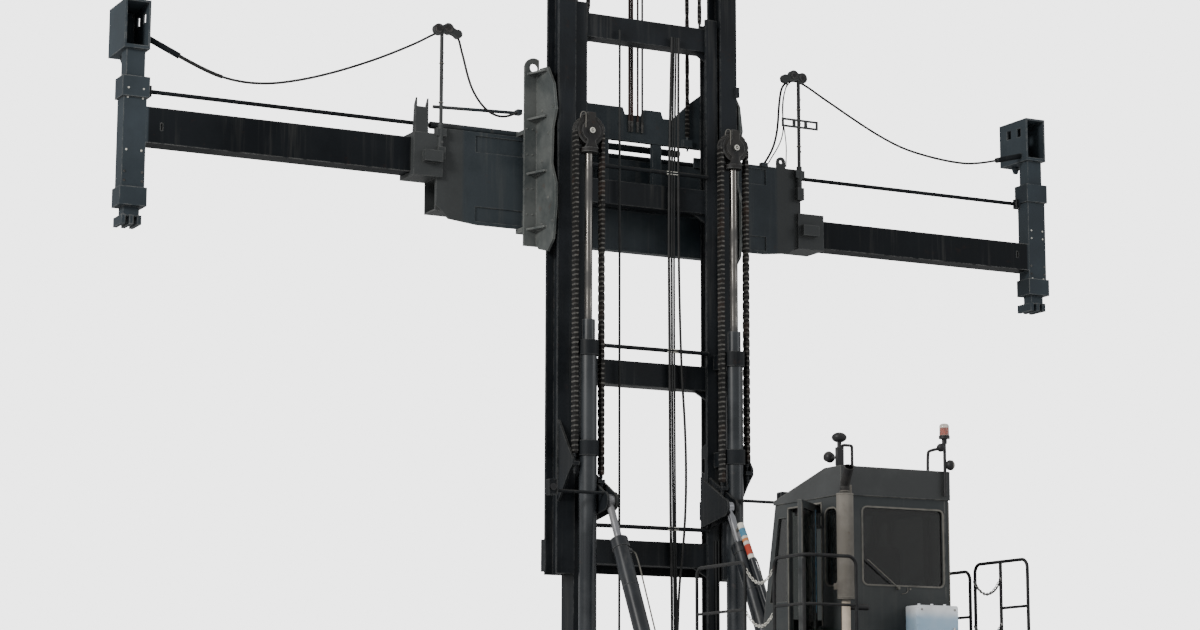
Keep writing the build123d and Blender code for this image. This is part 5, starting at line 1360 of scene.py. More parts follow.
class Assembly:
    """A sub-assembly.

    Attributes:
        COATS: Names of the CAD nodes that take each finish; a pair goes without its left and right.
    """

    COATS: ClassVar[dict[Finish, tuple[str, ...]]] = {}

    def dress(self, palette: Palette) -> None:
        """Puts the finishes on the CAD nodes.

        Args:
            palette: The finishes.
        """
        for finish, names in self.COATS.items():
            nodes = [node for name in names for node in (name, f"{name}_left", f"{name}_right")]
            palette.coat_nodes([node for node in nodes if node in frame["nodes"]], finish)


@dataclass(frozen=True)
class Mast(Assembly):
    """Fixed and moving masts with their hoses, and the tilt cylinders.

    Attributes:
        bars: Heights of the fixed mast's guide bars.
        clamps: X, half width and half height of the hose clamps on each bar.
        heights: Heights at which each upright hose has a point.
        hoses: Name, finish, radius and X at those heights of each upright hose.
        hose_face: Y of the plane that the upright hoses touch from behind.
        post_pipes: X of the two thin pipes on the right post.
        drops: X, finish and radius of the hoses that go down to the carriage.
        drop_ends: Heights of their lower and upper ends.
        drop_gap: Distance of their axes from the beam in front of them.
        drop_steps: Sections of each.
        drop_nuts: Lowest and highest Z and radius of the nuts at their lower ends.
        lift: X, Y and Z of the right lift sheave.
        keeper: Route of a chain keeper, from its sheave.
        port_z: Height of the lift cylinders' ports.
        lift_pipe: Route of the right lift cylinder's pipe below its port.
        barrel_clamps: Heights of the clamps round the lift cylinders.
        tilt_base: Y and Z of the tilt cylinders' lower pins.
        tilt_way: Their direction in Y and Z.
        tilt_x: X of the right one.
        tilt_ports: Distances of its two ports from the lower pin.
        tilt_pipe: Distance, right and rear of the pipe between the ports.
        tapes: Length and finish of each band of tape, from the top.
        tape_top: Distance of the first band from the lower pin.
        tube_lean: Place to the right at the top, growth downward and place to the rear of the taped tube.
        tube_foot: Distances of the foot's upper end, of the tube's end and of the foot's tip.
    """

    COATS = {
        Finish.MAST: ("fixed_mast_posts", "fixed_mast_ties", "moving_mast_posts", "moving_mast_ties"),
        Finish.CYLINDER: ("lift_barrels",),
        Finish.HEAD: ("lift_heads",),
        Finish.LIFT_ROD: ("lift_rods",),
        Finish.CHAIN: ("mast_chains_inner", "mast_chains_outer", "carriage_chain_front",
                       "carriage_chain_rear"),
        Finish.TILT: ("tilt_barrel",),
        Finish.ROD: ("tilt_rod",),
    }
    bars: tuple[float, ...] = (2.76, 4.73, 6.78, 8.87)
    clamps: tuple[Point, ...] = ((0.28, 0.034, 0.020), (0.36, 0.034, 0.020), (-0.37, 0.020, 0.014))
    heights: tuple[float, ...] = (0.80, 3.70, 4.73, 5.70, 6.78, 8.87, 10.50)
    hoses: tuple[tuple[str, Finish, float, tuple[float, ...]], ...] = (
        ("hose_single", Finish.GREY_HOSE, 0.014, (-0.37, -0.37, -0.37, -0.37, -0.37, -0.37, -0.37)),
        ("hose_outer", Finish.HOSE, 0.016, (0.31, 0.31, 0.29, 0.285, 0.28, 0.27, 0.32)),
        ("hose_middle", Finish.GREY_HOSE, 0.013, (0.35, 0.345, 0.327, 0.32, 0.315, 0.31, 0.35)),
        ("hose_inner", Finish.GREY_HOSE, 0.012, (0.38, 0.37, 0.355, 0.35, 0.345, 0.345, 0.38)),
        ("hose_slanting", Finish.HOSE, 0.015, (0.355, 0.350, 0.485, 0.500, 0.42, 0.395, 0.41)),
    )
    hose_face: float = 0.050
    post_pipes: tuple[float, float] = (0.885, 0.925)
    drops: tuple[tuple[float, Finish, float], ...] = (
        (-0.032, Finish.RED_HOSE, 0.016), (0.004, Finish.RED_HOSE, 0.016), (0.080, Finish.RED_HOSE, 0.013),
        (0.140, Finish.GREY_HOSE, 0.013))
    drop_ends: tuple[float, float] = (9.50, 14.20)
    drop_gap: float = 0.017
    drop_steps: int = 9
    drop_nuts: tuple[Point, ...] = ((9.41, 9.53, 0.0165), (9.50, 9.535, 0.020))
    lift: Point = (0.943, -0.300, 9.155)
    keeper: tuple[Point, ...] = ((-0.075, -0.075, 0.03), (-0.080, -0.095, 0.17), (-0.090, -0.095, 0.205),
                                 (-0.150, -0.095, 0.200), (-0.155, -0.095, 0.13))
    port_z: float = 2.50
    lift_pipe: tuple[Point, ...] = ((0.943, -0.46, 2.50), (0.943, -0.50, 2.49), (0.923, -0.50, 2.30),
                                    (0.883, -0.40, 1.90), (0.80, 0.03, 1.70), (0.80, 0.035, 1.00))
    barrel_clamps: tuple[float, ...] = (2.485, 5.545, 6.675)
    tilt_base: tuple[float, float] = (-2.100, 1.850)
    tilt_way: tuple[float, float] = (0.4654, 0.8851)
    tilt_x: float = 0.765
    tilt_ports: tuple[float, float] = (2.86, 0.70)
    tilt_pipe: tuple[Point, ...] = ((2.86, 0.115, 0.0), (2.86, 0.150, 0.0), (2.78, 0.165, 0.02),
                                    (2.30, 0.150, 0.03), (1.40, 0.135, 0.03), (0.80, 0.140, 0.02),
                                    (0.70, 0.140, 0.0), (0.70, 0.115, 0.0))
    tapes: tuple[tuple[float, Finish], ...] = (
        (0.07, Finish.TAPE_WHITE), (0.10, Finish.TAPE_BLUE), (0.03, Finish.TAPE_WHITE),
        (0.04, Finish.TAPE_ORANGE), (0.04, Finish.TAPE_WHITE), (0.13, Finish.TAPE_RED),
        (0.05, Finish.TAPE_WHITE))
    tape_top: float = 3.19
    tube_lean: Point = (-0.012, 0.050, 0.146)
    tube_foot: Point = (1.97, 1.95, 1.90)

    def along(self, distance: float, right: float = 0.0, rear: float = 0.0, side: Side = Side.RIGHT) -> Point:
        """Returns a point beside a tilt cylinder.

        Args:
            distance: Along the cylinder from its lower pin.
            right: Towards the machine's right from its axis.
            rear: Square to the axis, to the rear.
            side: Which cylinder.

        Returns:
            The point.
        """
        y, z = self.tilt_base
        dy, dz = self.tilt_way
        return (self.tilt_x * side.value + right, y + distance * dy - rear * dz,
                z + distance * dz + rear * dy)

    def beside(self, distance: float) -> Point:
        """Returns a point on the taped tube beside the right cylinder.

        Args:
            distance: Along the cylinder from its lower pin.

        Returns:
            The point.
        """
        right, growth, rear = self.tube_lean
        return self.along(distance, right + (self.tape_top - distance) * growth, rear)

    def build(self, kit: Kit) -> None:
        """Makes the hoses and pipes of the mast and of its cylinders.

        Args:
            kit: The mesh tools.
        """
        self._hoses(kit)
        self._lift(kit)
        self._tilt(kit)

    def _hoses(self, kit: Kit) -> None:
        """Upright hoses on the fixed mast, and those that go down to the carriage.

        Args:
            kit: The mesh tools.
        """
        for name, finish, radius, spots in self.hoses:
            points = [(x, self.hose_face - radius, z) for x, z in zip(spots, self.heights)]
            kit.line(name, "mast_fixed", points, radius, finish)
        for number, x in enumerate(self.post_pipes):
            points = [(x, 0.041, z) for z in (0.9, 2.6, 4.62)]
            kit.line(f"post_pipe_{number}", "mast_fixed", points, 0.009, Finish.GREY_HOSE)
        sleeves = bmesh.new()
        for z in self.bars:
            kit.cylinder(sleeves, (-0.80, 0.045, z), (0.80, 0.045, z), radius=0.024, sides=20)
        kit.finish(sleeves, "guide_bar_sleeves", "mast_fixed", Finish.MAST)
        clamps = bmesh.new()
        for z in self.bars:
            for x, wide, high in self.clamps:
                kit.block(clamps, (x - wide, 0.024, z - high), (x + wide, 0.066, z + high), bevel=0.004)
        kit.finish(clamps, "hose_clamps", "mast_fixed", Finish.TAPE_WHITE)
        low, top = self.drop_ends
        y = kit.seat("carriage_beams", (0.20, -0.60, 9.42), FORWARD)[1] - self.drop_gap
        for number, (x, finish, radius) in enumerate(self.drops):
            tube = bmesh.new()
            for step in range(self.drop_steps):
                a = low + (top - low) * step / self.drop_steps
                kit.cylinder(tube, (x, y, a), (x, y, a + (top - low) / self.drop_steps), radius, sides=10)
            bmesh.ops.remove_doubles(tube, verts=tube.verts, dist=kit.MERGE)
            piece = kit.finish(tube, f"carriage_hose_{number}", "carriage", finish)
            piece.parent = None
            del piece["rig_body"]
            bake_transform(piece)
        ends = bmesh.new()
        for x, _, _ in self.drops:
            for foot, head, radius in self.drop_nuts:
                kit.cylinder(ends, (x, y, foot), (x, y, head), radius, sides=6)
        kit.finish(ends, "hose_ends", "carriage", Finish.HEAD)

    def _lift(self, kit: Kit) -> None:
        """Sheave rings, chain keepers, ports, pipes and clamp bolts of the lift cylinders.

        Args:
            kit: The mesh tools.
        """
        x, y, z = self.lift
        for side in Side:
            k = side.value
            rings = bmesh.new()
            kit.torus(rings, (k * x, y - 0.100, z), FORWARD, radius=0.026, tube=0.008)
            kit.cylinder(rings, (k * x, y - 0.096, z), (k * x, y - 0.108, z), radius=0.009, sides=6)
            kit.finish(rings, f"sheave_ring_{side.word}", "lift_rods", Finish.TAPE_WHITE)
            hook = [(k * x + dx, y + dy, z + dz) for dx, dy, dz in self.keeper]
            kit.line(f"chain_keeper_{side.word}", "lift_rods", hook, 0.006, Finish.GASKET)
            port = bmesh.new()
            for near, far, radius, sides in ((0.09, 0.15, 0.030, 12), (0.15, 0.17, 0.022, 6)):
                kit.cylinder(port, (k * x, y - near, self.port_z), (k * x, y - far, self.port_z), radius,
                             sides)
            kit.finish(port, f"lift_port_{side.word}", "mast_fixed", Finish.ZINC)
            route = [(k * px, py, pz) for px, py, pz in self.lift_pipe]
            kit.line(f"lift_pipe_{side.word}", "mast_fixed", route, 0.013, Finish.HOSE)
            bolts = bmesh.new()
            for height in self.barrel_clamps:
                starts = [(k * x + dx, y - 0.30, height + dz) for dx in (-0.085, 0.085)
                          for dz in (-0.055, 0.055)]
                kit.bolts(bolts, "lift_barrels", starts, FORWARD, radius=0.011)
            kit.finish(bolts, f"clamp_bolts_{side.word}", "mast_fixed", Finish.ZINC)

    def _tilt(self, kit: Kit) -> None:
        """Gland rings, pipes and the taped tube beside the right cylinder.

        Args:
            kit: The mesh tools.
        """
        axis = (0.0, *self.tilt_way)
        for side in Side:
            rings = bmesh.new()
            kit.torus(rings, self.along(2.995, side=side), axis, radius=0.058, tube=0.012, around=28)
            kit.finish(rings, f"gland_ring_{side.word}", f"tilt_barrel_{side.word}", Finish.GASKET)
            fittings = bmesh.new()
            for distance in (2.40, 0.55):
                kit.torus(fittings, self.along(distance, side=side), axis, radius=0.090, tube=0.006,
                          around=32)
            for distance in self.tilt_ports:
                kit.cylinder(fittings, self.along(distance, 0.080, 0.0, side),
                             self.along(distance, 0.125, 0.0, side), radius=0.024, sides=8)
            kit.finish(fittings, f"tilt_fittings_{side.word}", f"tilt_barrel_{side.word}", Finish.TILT)
            route = [self.along(distance, right, rear, side) for distance, right, rear in self.tilt_pipe]
            kit.line(f"tilt_pipe_{side.word}", f"tilt_barrel_{side.word}", route, 0.009, Finish.GASKET)
        distance = self.tape_top
        for number, (length, finish) in enumerate(self.tapes):
            tape = bmesh.new()
            kit.cylinder(tape, self.beside(distance), self.beside(distance - length), radius=0.037, sides=20)
            kit.finish(tape, f"tape_{number}", "tilt_rod_right", finish)
            distance -= length
        top, end, tip = self.tube_foot
        tube = bmesh.new()
        kit.cylinder(tube, self.beside(distance), self.beside(end), radius=0.035, sides=20)
        kit.cylinder(tube, self.beside(top), self.beside(tip), radius=0.035, sides=20, far=0.018)
        kit.finish(tube, "sensor_tube", "tilt_rod_right", Finish.TILT)
        strap = bmesh.new()
        kit.cylinder(strap, self.along(3.17), self.beside(3.17), radius=0.020, sides=10)
        kit.finish(strap, "sensor_strap", "tilt_rod_right", Finish.GASKET)


@dataclass(frozen=True)
class Spreader(Assembly):
    """Carriage, spreader frame, arms and the hoses on them.

    Attributes:
        hose_radius: Radius of the free hoses.
        lengths: Length of the left and of the right one; not used.
        left_hose: Route of the left one.
        right_hose: Route of the right one.
        thin_hoses: Name, route, radius and length of each thin hose beside the right one.
        probe_y: Y behind the machine's steel, from where lines go forward to seat bolts.
        pale_bolts: Side and heights of the two places on each leg that have pale bolts.
        rollers: X and Z of the rollers on the head of a hose post.
        post_x: X of a hose post.
    """

    COATS = {
        Finish.CARRIAGE: ("carriage_sides",),
        Finish.SPREADER: ("carriage_beams", "spreader_frame"),
        Finish.HOSE: ("hose",),
        Finish.ARM: ("spreader_arm", "twist_lock"),
    }
    hose_radius: float = 0.014
    lengths: tuple[float, float] = (4.877, 4.483)
    left_hose: tuple[Point, ...] = (
        (-1.420, 0.565, 9.515), (-1.520, 0.565, 9.455), (-1.665, 0.565, 9.432), (-1.800, 0.566, 9.478),
        (-1.915, 0.570, 9.585), (-2.005, 0.578, 9.730), (-2.060, 0.588, 9.900), (-2.098, 0.600, 10.070),
        (-2.128, 0.612, 10.185), (-2.150, 0.622, 10.300), (-2.197, 0.628, 10.358), (-2.265, 0.628, 10.390),
        (-2.340, 0.628, 10.389), (-2.474, 0.626, 10.321), (-2.627, 0.624, 10.226), (-2.781, 0.621, 10.140),
        (-3.098, 0.627, 9.979), (-3.424, 0.640, 9.835), (-3.755, 0.655, 9.705), (-4.094, 0.671, 9.596),
        (-4.441, 0.688, 9.517), (-4.796, 0.706, 9.506), (-5.141, 0.726, 9.582), (-5.455, 0.750, 9.727))
    right_hose: tuple[Point, ...] = (
        (1.900, 0.600, 9.257), (1.965, 0.600, 9.350), (2.030, 0.600, 9.470), (2.078, 0.600, 9.620),
        (2.103, 0.600, 9.790), (2.115, 0.602, 9.960), (2.136, 0.610, 10.100), (2.165, 0.622, 10.215),
        (2.205, 0.628, 10.284), (2.266, 0.628, 10.328), (2.353, 0.628, 10.350), (2.442, 0.628, 10.337),
        (2.579, 0.626, 10.276), (2.746, 0.624, 10.186), (2.913, 0.622, 10.104), (3.252, 0.633, 9.943),
        (3.598, 0.648, 9.795), (3.954, 0.665, 9.679), (4.325, 0.684, 9.625), (4.699, 0.703, 9.596),
        (5.074, 0.725, 9.605), (5.427, 0.748, 9.699))
    thin_hoses: tuple[tuple[str, tuple[Point, ...], float, float], ...] = (
        ("thin_hose_rear",
         ((1.945, 0.575, 9.262), (1.990, 0.570, 9.340), (2.060, 0.570, 9.440), (2.125, 0.568, 9.560),
          (2.160, 0.566, 9.700), (2.150, 0.564, 9.880), (2.155, 0.566, 10.040), (2.180, 0.570, 10.180),
          (2.225, 0.576, 10.290)), 0.008, 1.092),
        ("thin_hose_front",
         ((2.235, 0.640, 9.262), (2.240, 0.642, 9.380), (2.245, 0.642, 9.520), (2.225, 0.640, 9.680),
          (2.195, 0.640, 9.850), (2.190, 0.642, 10.020), (2.215, 0.645, 10.170), (2.262, 0.646, 10.290),
          (2.310, 0.640, 10.330)), 0.007, 1.102),
    )
    probe_y: float = 0.30
    pale_bolts: tuple[tuple[Side, float, float], ...] = ((Side.LEFT, 8.62, 9.18), (Side.RIGHT, 8.22, 8.72))
    rollers: tuple[tuple[float, float], ...] = ((2.310, 10.395), (2.430, 10.375))
    post_x: float = 2.385

    def build(self, kit: Kit) -> None:
        """Makes the free hoses, bolts and fittings.

        Args:
            kit: The mesh tools.
        """
        for side, route, length in zip(Side, (self.left_hose, self.right_hose), self.lengths):
            hose = kit.line(f"free_hose_{side.word}", "spreader_frame", route, self.hose_radius, Finish.HOSE)
            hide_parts(f"hose_{side.word}")
        tip, bend, back = (Vector(point) for point in self.left_hose[:-4:-1])
        kit.line("hose_sleeve_left", "spreader_frame", [tuple(tip), tuple(bend), tuple(bend.lerp(back, 0.5))],
                 self.hose_radius + 0.007, Finish.HOSE)
        for name, route, radius, length in self.thin_hoses:
            hose = kit.line(name, "spreader_frame", route, radius, Finish.HOSE)
        self._arms(kit)
        self._frame(kit)
        self._carriage(kit)

    def _arms(self, kit: Kit) -> None:
        """Bolts on the legs and heads.

        Args:
            kit: The mesh tools.
        """
        for side, low, high in self.pale_bolts:
            k = side.value
            node = f"spreader_arm_{side.word}"
            bolts = bmesh.new()
            starts = [(k * x, self.probe_y, z) for x in (5.885, 6.055)
                      for z in (low - 0.02, high, high + 0.10)]
            kit.bolts(bolts, node, starts, FORWARD, radius=0.008)
            kit.finish(bolts, f"leg_bolts_{side.word}", f"arm_{side.word}", Finish.TAPE_WHITE)
            dark = bmesh.new()
            for across, heights, radius in (((5.86, 5.97, 6.08), (9.78, 10.22), 0.012),
                                            ((5.87, 6.07), (8.26, 8.36), 0.010)):
                starts = [(k * x, self.probe_y, z) for x in across for z in heights]
                kit.bolts(dark, node, starts, FORWARD, radius)
            kit.finish(dark, f"head_bolts_{side.word}", f"arm_{side.word}", Finish.HEAD)

    def _frame(self, kit: Kit) -> None:
        """Bolts of the spreader's frame, rollers' ends and rings of the hose posts.

        Args:
            kit: The mesh tools.
        """
        for side in Side:
            k = side.value
            bolts = bmesh.new()
            starts = [(k * x, self.probe_y, z) for x in (1.50, 1.70, 1.90, 2.25) for z in (9.36, 8.06)]
            starts += [(k * self.post_x, self.probe_y, z) for z in (9.05, 9.45, 9.80, 10.10)]
            kit.bolts(bolts, "spreader_frame", starts, FORWARD, radius=0.012)
            kit.finish(bolts, f"frame_bolts_{side.word}", "spreader_frame", Finish.SPREADER)
            ends = bmesh.new()
            for x, z in self.rollers:
                kit.cylinder(ends, (k * x, 0.545, z), (k * x, 0.552, z), radius=0.050, sides=20)
                kit.torus(ends, (k * x, 0.546, z), FORWARD, radius=0.040, tube=0.007)
            kit.finish(ends, f"head_rollers_{side.word}", "spreader_frame", Finish.HEAD)
            ring = bmesh.new()
            for z in (9.00, 9.52, 9.98):
                kit.torus(ring, (k * self.post_x, 0.580, z), UP, radius=0.024, tube=0.007, around=18)
            kit.finish(ring, f"post_rings_{side.word}", "spreader_frame", Finish.GASKET)

    def _carriage(self, kit: Kit) -> None:
        """Bolts of the carriage's side plates.

        Args:
            kit: The mesh tools.
        """
        for side in Side:
            k = side.value
            bolts = bmesh.new()
            outer = [(k * 2.0, y, z) for y in (0.02, 0.30) for z in (8.16, 8.90, 9.49)]
            outer += [(k * 2.0, 0.14, z) for z in (8.45, 9.20)]
            kit.bolts(bolts, "carriage_sides", outer, (-k, 0, 0), radius=0.014)
            rear = [(k * x, -0.60, z) for x in (1.29, 1.36) for z in (8.30, 8.60, 9.00, 9.30)]
            kit.bolts(bolts, "carriage_sides", rear, FORWARD, radius=0.010, washer=False)
            kit.finish(bolts, f"carriage_bolts_{side.word}", "carriage", Finish.CARRIAGE)


@dataclass(frozen=True)
class Cab(Assembly):
    """Operator's cab, its fittings and the deck.

    Attributes:
        half: Half the cab's width.
        rear: Y of its rear wall.
        window: Lowest and highest X and Z of the rear window.
        quarter: Lowest and highest Y and Z of the narrow side window.
        side_pane: The same of the right side's big window.
        corners: Corner radius of the rubbers of these three.
        rubber: Gap from the pane, width and thickness of a window rubber.
        door_strips: Strips round the doorway and down the rear corners.
        wiper: Bars of the rear wiper and its pivots.
        washer: Route of the washer's tube.
        silencer: X and Y of the silencer's axis.
        jacket: Bars of the jacket round the exhaust's tail.
        mouth: The near-black disc in its end, painted shade inside the open pipe.
        glands: X and Z of the cabinet's cable glands.
        lamp_blocks: Lowest and highest corner and bevel of the roof lamps' feet.
        lamp_rods: Bars of the roof lamps and of the beacon's post.
        lamp_domes: Centre and half sizes of the lamp bodies.
        lamp_rims: Centre, axis, radius and section of the rims.
        guard: Route of the guard hoop beside the left lamp's foot.
        bracket: Route of the beacon post's bracket.
        beacon: The beacon's core, from its foot to its top.
        hinge: X and Y of the door's outer face at its hinge.
        door_way: X and Y of the open door's direction, away from the hinge.
        door_lines: Name, distance from the hinge, lowest and highest Z and finish of the door's strips.
        rail_x: X of the handrails.
    """

    COATS = {
        Finish.CAB: ("cab_left_wall", "cab_right_wall", "cab_rear_wall", "cab_front_wall", "cab_roof",
                     "cab_door"),
        Finish.CAB_INNER: ("cab_floor", "steering_console"),
        Finish.GLASS: ("cab_glass", "door_glass"),
        Finish.SEAT_SHELL: ("operator_seat",),
        Finish.LAMP: ("roof_lamps",),
        Finish.LENS: ("beacon_lens",),
        Finish.EXHAUST: ("exhaust",),
        Finish.CABINET: ("control_cabinet",),
        Finish.DECK: ("deck",),
        Finish.RAIL: ("deck_rails", "deck_supports"),
    }
    half: float = 0.620
    rear: float = -5.030
    window: tuple[float, float, float, float] = (-0.380, 0.545, 3.770, 4.510)
    quarter: tuple[float, float, float, float] = (-4.950, -4.735, 3.760, 4.500)
    side_pane: tuple[float, float, float, float] = (-4.650, -4.050, 3.700, 4.500)
    corners: Point = (0.053, 0.078, 0.068)
    rubber: Point = (0.008, 0.016, 0.006)
    door_strips: tuple[Box, ...] = (
        ((-0.626, -4.672, 3.05), (-0.6195, -4.656, 4.57)),
        ((-0.626, -4.044, 3.05), (-0.6195, -4.028, 4.57)),
        ((-0.626, -4.672, 4.562), (-0.6195, -4.028, 4.578)),
        ((-0.627, -5.0365, 3.03), (-0.615, -5.025, 4.60)),
        ((0.613, -5.0365, 3.03), (0.625, -5.025, 4.60)),
    )
    wiper: tuple[Rod, ...] = (
        ((0.012, -5.048, 3.738), (-0.336, -5.052, 3.997), 0.006, 8),
        ((-0.20, -5.046, 3.90), (-0.345, -5.046, 4.004), 0.005, 6),
        ((0.012, -5.028, 3.738), (0.012, -5.060, 3.738), 0.014, 10),
        ((0.152, -5.028, 3.734), (0.152, -5.042, 3.734), 0.010, 8),
    )
    washer: tuple[Point, ...] = ((0.055, -5.034, 3.684), (0.100, -5.038, 3.690), (0.128, -5.038, 3.715),
                                 (0.123, -5.034, 3.748))
    silencer: tuple[float, float] = (-0.70, -5.215)
    jacket: tuple[Rod, ...] = (
        ((-0.700, -5.215, 4.612), (-0.700, -5.215, 4.695), 0.0465, 24),
        ((-0.700, -5.2135, 4.688), (-0.731, -5.347, 4.8525), 0.0470, 24),
    )
    mouth: tuple[Rod, ...] = (((-0.7295, -5.341, 4.8450), (-0.7313, -5.3485, 4.8542), 0.040, 24),)
    glands: tuple[tuple[float, float], ...] = ((0.24, 3.215), (0.31, 3.215), (0.37, 3.205), (0.42, 3.21))
    lamp_blocks: tuple[tuple[Point, Point, float], ...] = (
        ((-0.640, -4.990, 4.9055), (-0.570, -4.950, 5.085), 0.006),
        ((-0.614, -4.984, 4.9055), (-0.435, -4.956, 4.919), 0.003),
        ((0.544, -5.080, 4.665), (0.576, -5.0445, 4.715), 0.003),
    )
    lamp_rods: tuple[Rod, ...] = (
        ((-0.600, -4.970, 5.08), (-0.600, -4.970, 5.165), 0.022, 14),
        ((-0.600, -4.960, 4.995), (-0.600, -4.820, 4.995), 0.012, 10),
        ((-0.600, -4.775, 5.012), (-0.600, -4.762, 5.018), 0.050, 24),
        ((0.560, -5.070, 4.655), (0.560, -5.070, 5.240), 0.016, 14),
        ((0.560, -5.070, 5.225), (0.560, -5.070, 5.255), 0.055, 28),
        ((0.560, -5.070, 5.175), (0.560, -5.070, 5.225), 0.026, 18),
    )
    lamp_domes: tuple[tuple[Point, Point], ...] = (
        ((-0.600, -4.970, 5.182), (0.074, 0.074, 0.050)),
        ((-0.600, -4.795, 5.005), (0.054, 0.046, 0.054)),
        ((0.515, -5.070, 5.135), (0.040, 0.042, 0.042)),
        ((0.612, -5.085, 4.965), (0.048, 0.050, 0.052)),
    )
    lamp_rims: tuple[tuple[Point, Point, float, float], ...] = (
        ((-0.600, -4.762, 5.018), (0, 1, 0.43), 0.048, 0.006),
        ((0.632, -5.090, 4.965), (0.97, -0.24, 0), 0.045, 0.005),
    )
    guard: tuple[Point, ...] = (
        (-0.565, -4.970, 4.910), (-0.565, -4.970, 5.085), (-0.562, -4.970, 5.108), (-0.540, -4.970, 5.110),
        (-0.480, -4.970, 5.110), (-0.458, -4.970, 5.108), (-0.455, -4.970, 5.085), (-0.455, -4.970, 4.910))
    bracket: tuple[Point, ...] = ((0.385, -5.030, 4.900), (0.385, -5.030, 5.080), (0.400, -5.045, 5.100),
                                  (0.480, -5.065, 5.122), (0.545, -5.070, 5.130))
    beacon: Box = ((0.560, -5.070, 5.258), (0.560, -5.070, 5.335))
    hinge: tuple[float, float] = (-0.642, -4.644)
    door_way: tuple[float, float] = (-0.719, -0.695)
    door_lines: tuple[tuple[str, float, float, float, Finish], ...] = (
        ("door_edge_strip", 0.572, 3.09, 4.52, Finish.GASKET),
        ("door_hinge_strip", 0.050, 3.50, 4.50, Finish.TAPE_BLUE),
    )
    rail_x: float = 1.290

    def build(self, kit: Kit) -> None:
        """Makes what the CAD cab leaves out.

        Args:
            kit: The mesh tools.
        """
        self._rubbers(kit)
        self._rear(kit)
        self._seat(kit)
        self._lamps(kit)
        self._doorway(kit)
        self._deck(kit)

    def _rubbers(self, kit: Kit) -> None:
        """Window rubbers and strips round the doorway.

        Args:
            kit: The mesh tools.
        """
        gap, width, thick = self.rubber
        rear_corner, quarter_corner, side_corner = self.corners
        rubbers = bmesh.new()
        x0, x1, z0, z1 = self.window
        kit.band(rubbers, ((x0 + x1) / 2, self.rear, (z0 + z1) / 2), (1, 0, 0), UP,
                 ((x1 - x0) / 2 + gap, (z1 - z0) / 2 + gap), rear_corner, width, thick)
        for k, pane, corner in ((-1, self.quarter, quarter_corner), (1, self.quarter, quarter_corner),
                                (1, self.side_pane, side_corner)):
            y0, y1, low, high = pane
            kit.band(rubbers, (k * self.half, (y0 + y1) / 2, (low + high) / 2), (0, k, 0), UP,
                     ((y1 - y0) / 2 + gap, (high - low) / 2 + gap), corner, width, thick)
        kit.finish(rubbers, "window_rubbers", "chassis", Finish.GASKET)
        strips = bmesh.new()
        for low, high in self.door_strips:
            kit.block(strips, low, high, bevel=0.002)
        kit.finish(strips, "door_frame_strips", "chassis", Finish.GASKET)

    def _rear(self, kit: Kit) -> None:
        """Wiper, drain stub, exhaust bands and jacket, and the cabinet's bolts and glands.

        Args:
            kit: The mesh tools.
        """
        wiper = bmesh.new()
        kit.bars(wiper, self.wiper)
        kit.finish(wiper, "rear_wiper", "chassis", Finish.GASKET)
        kit.line("washer_tube", "chassis", self.washer, 0.004, Finish.GASKET)
        stub = bmesh.new()
        kit.cylinder(stub, (-0.66, -5.215, 3.53), (-0.46, -5.215, 3.53), radius=0.030, sides=20)
        kit.torus(stub, (-0.46, -5.215, 3.53), (1, 0, 0), radius=0.024, tube=0.007)
        kit.finish(stub, "drain_stub", "chassis", Finish.LAMP)
        bands = bmesh.new()
        for z in (4.600, 3.615):
            kit.torus(bands, (*self.silencer, z), UP, radius=0.081, tube=0.006, around=32)
        kit.torus(bands, (*self.silencer, 4.63), UP, radius=0.044, tube=0.006, around=24)
        kit.block(bands, (-0.66, -5.19, 4.612), (-0.60, -5.16, 4.70), bevel=0.004)
        kit.finish(bands, "silencer_bands", "chassis", Finish.EXHAUST)
        jacket, mouth = bmesh.new(), bmesh.new()
        kit.bars(jacket, self.jacket)
        # The near-black disc in the jacket's end is painted shade inside the open pipe.
        kit.bars(mouth, self.mouth)
        kit.finish(jacket, "tail_jacket", "chassis", Finish.HEAD)
        kit.finish(mouth, "tail_mouth", "chassis", Finish.HOLE)
        bolts = bmesh.new()
        starts = [(x, -5.6, z) for x in (0.14, 0.52) for z in (3.05, 3.30, 3.53)]
        kit.bolts(bolts, "control_cabinet", starts, FORWARD, radius=0.008)
        kit.block(bolts, (0.500, -5.268, 3.26), (0.520, -5.250, 3.36), bevel=0.004)
        kit.finish(bolts, "cabinet_bolts", "chassis", Finish.ZINC)
        glands = bmesh.new()
        for x, z in self.glands:
            kit.cylinder(glands, (x, -5.248, z), (x, -5.262, z), radius=0.015, sides=16)
        kit.finish(glands, "cabinet_glands", "chassis", Finish.LAMP)

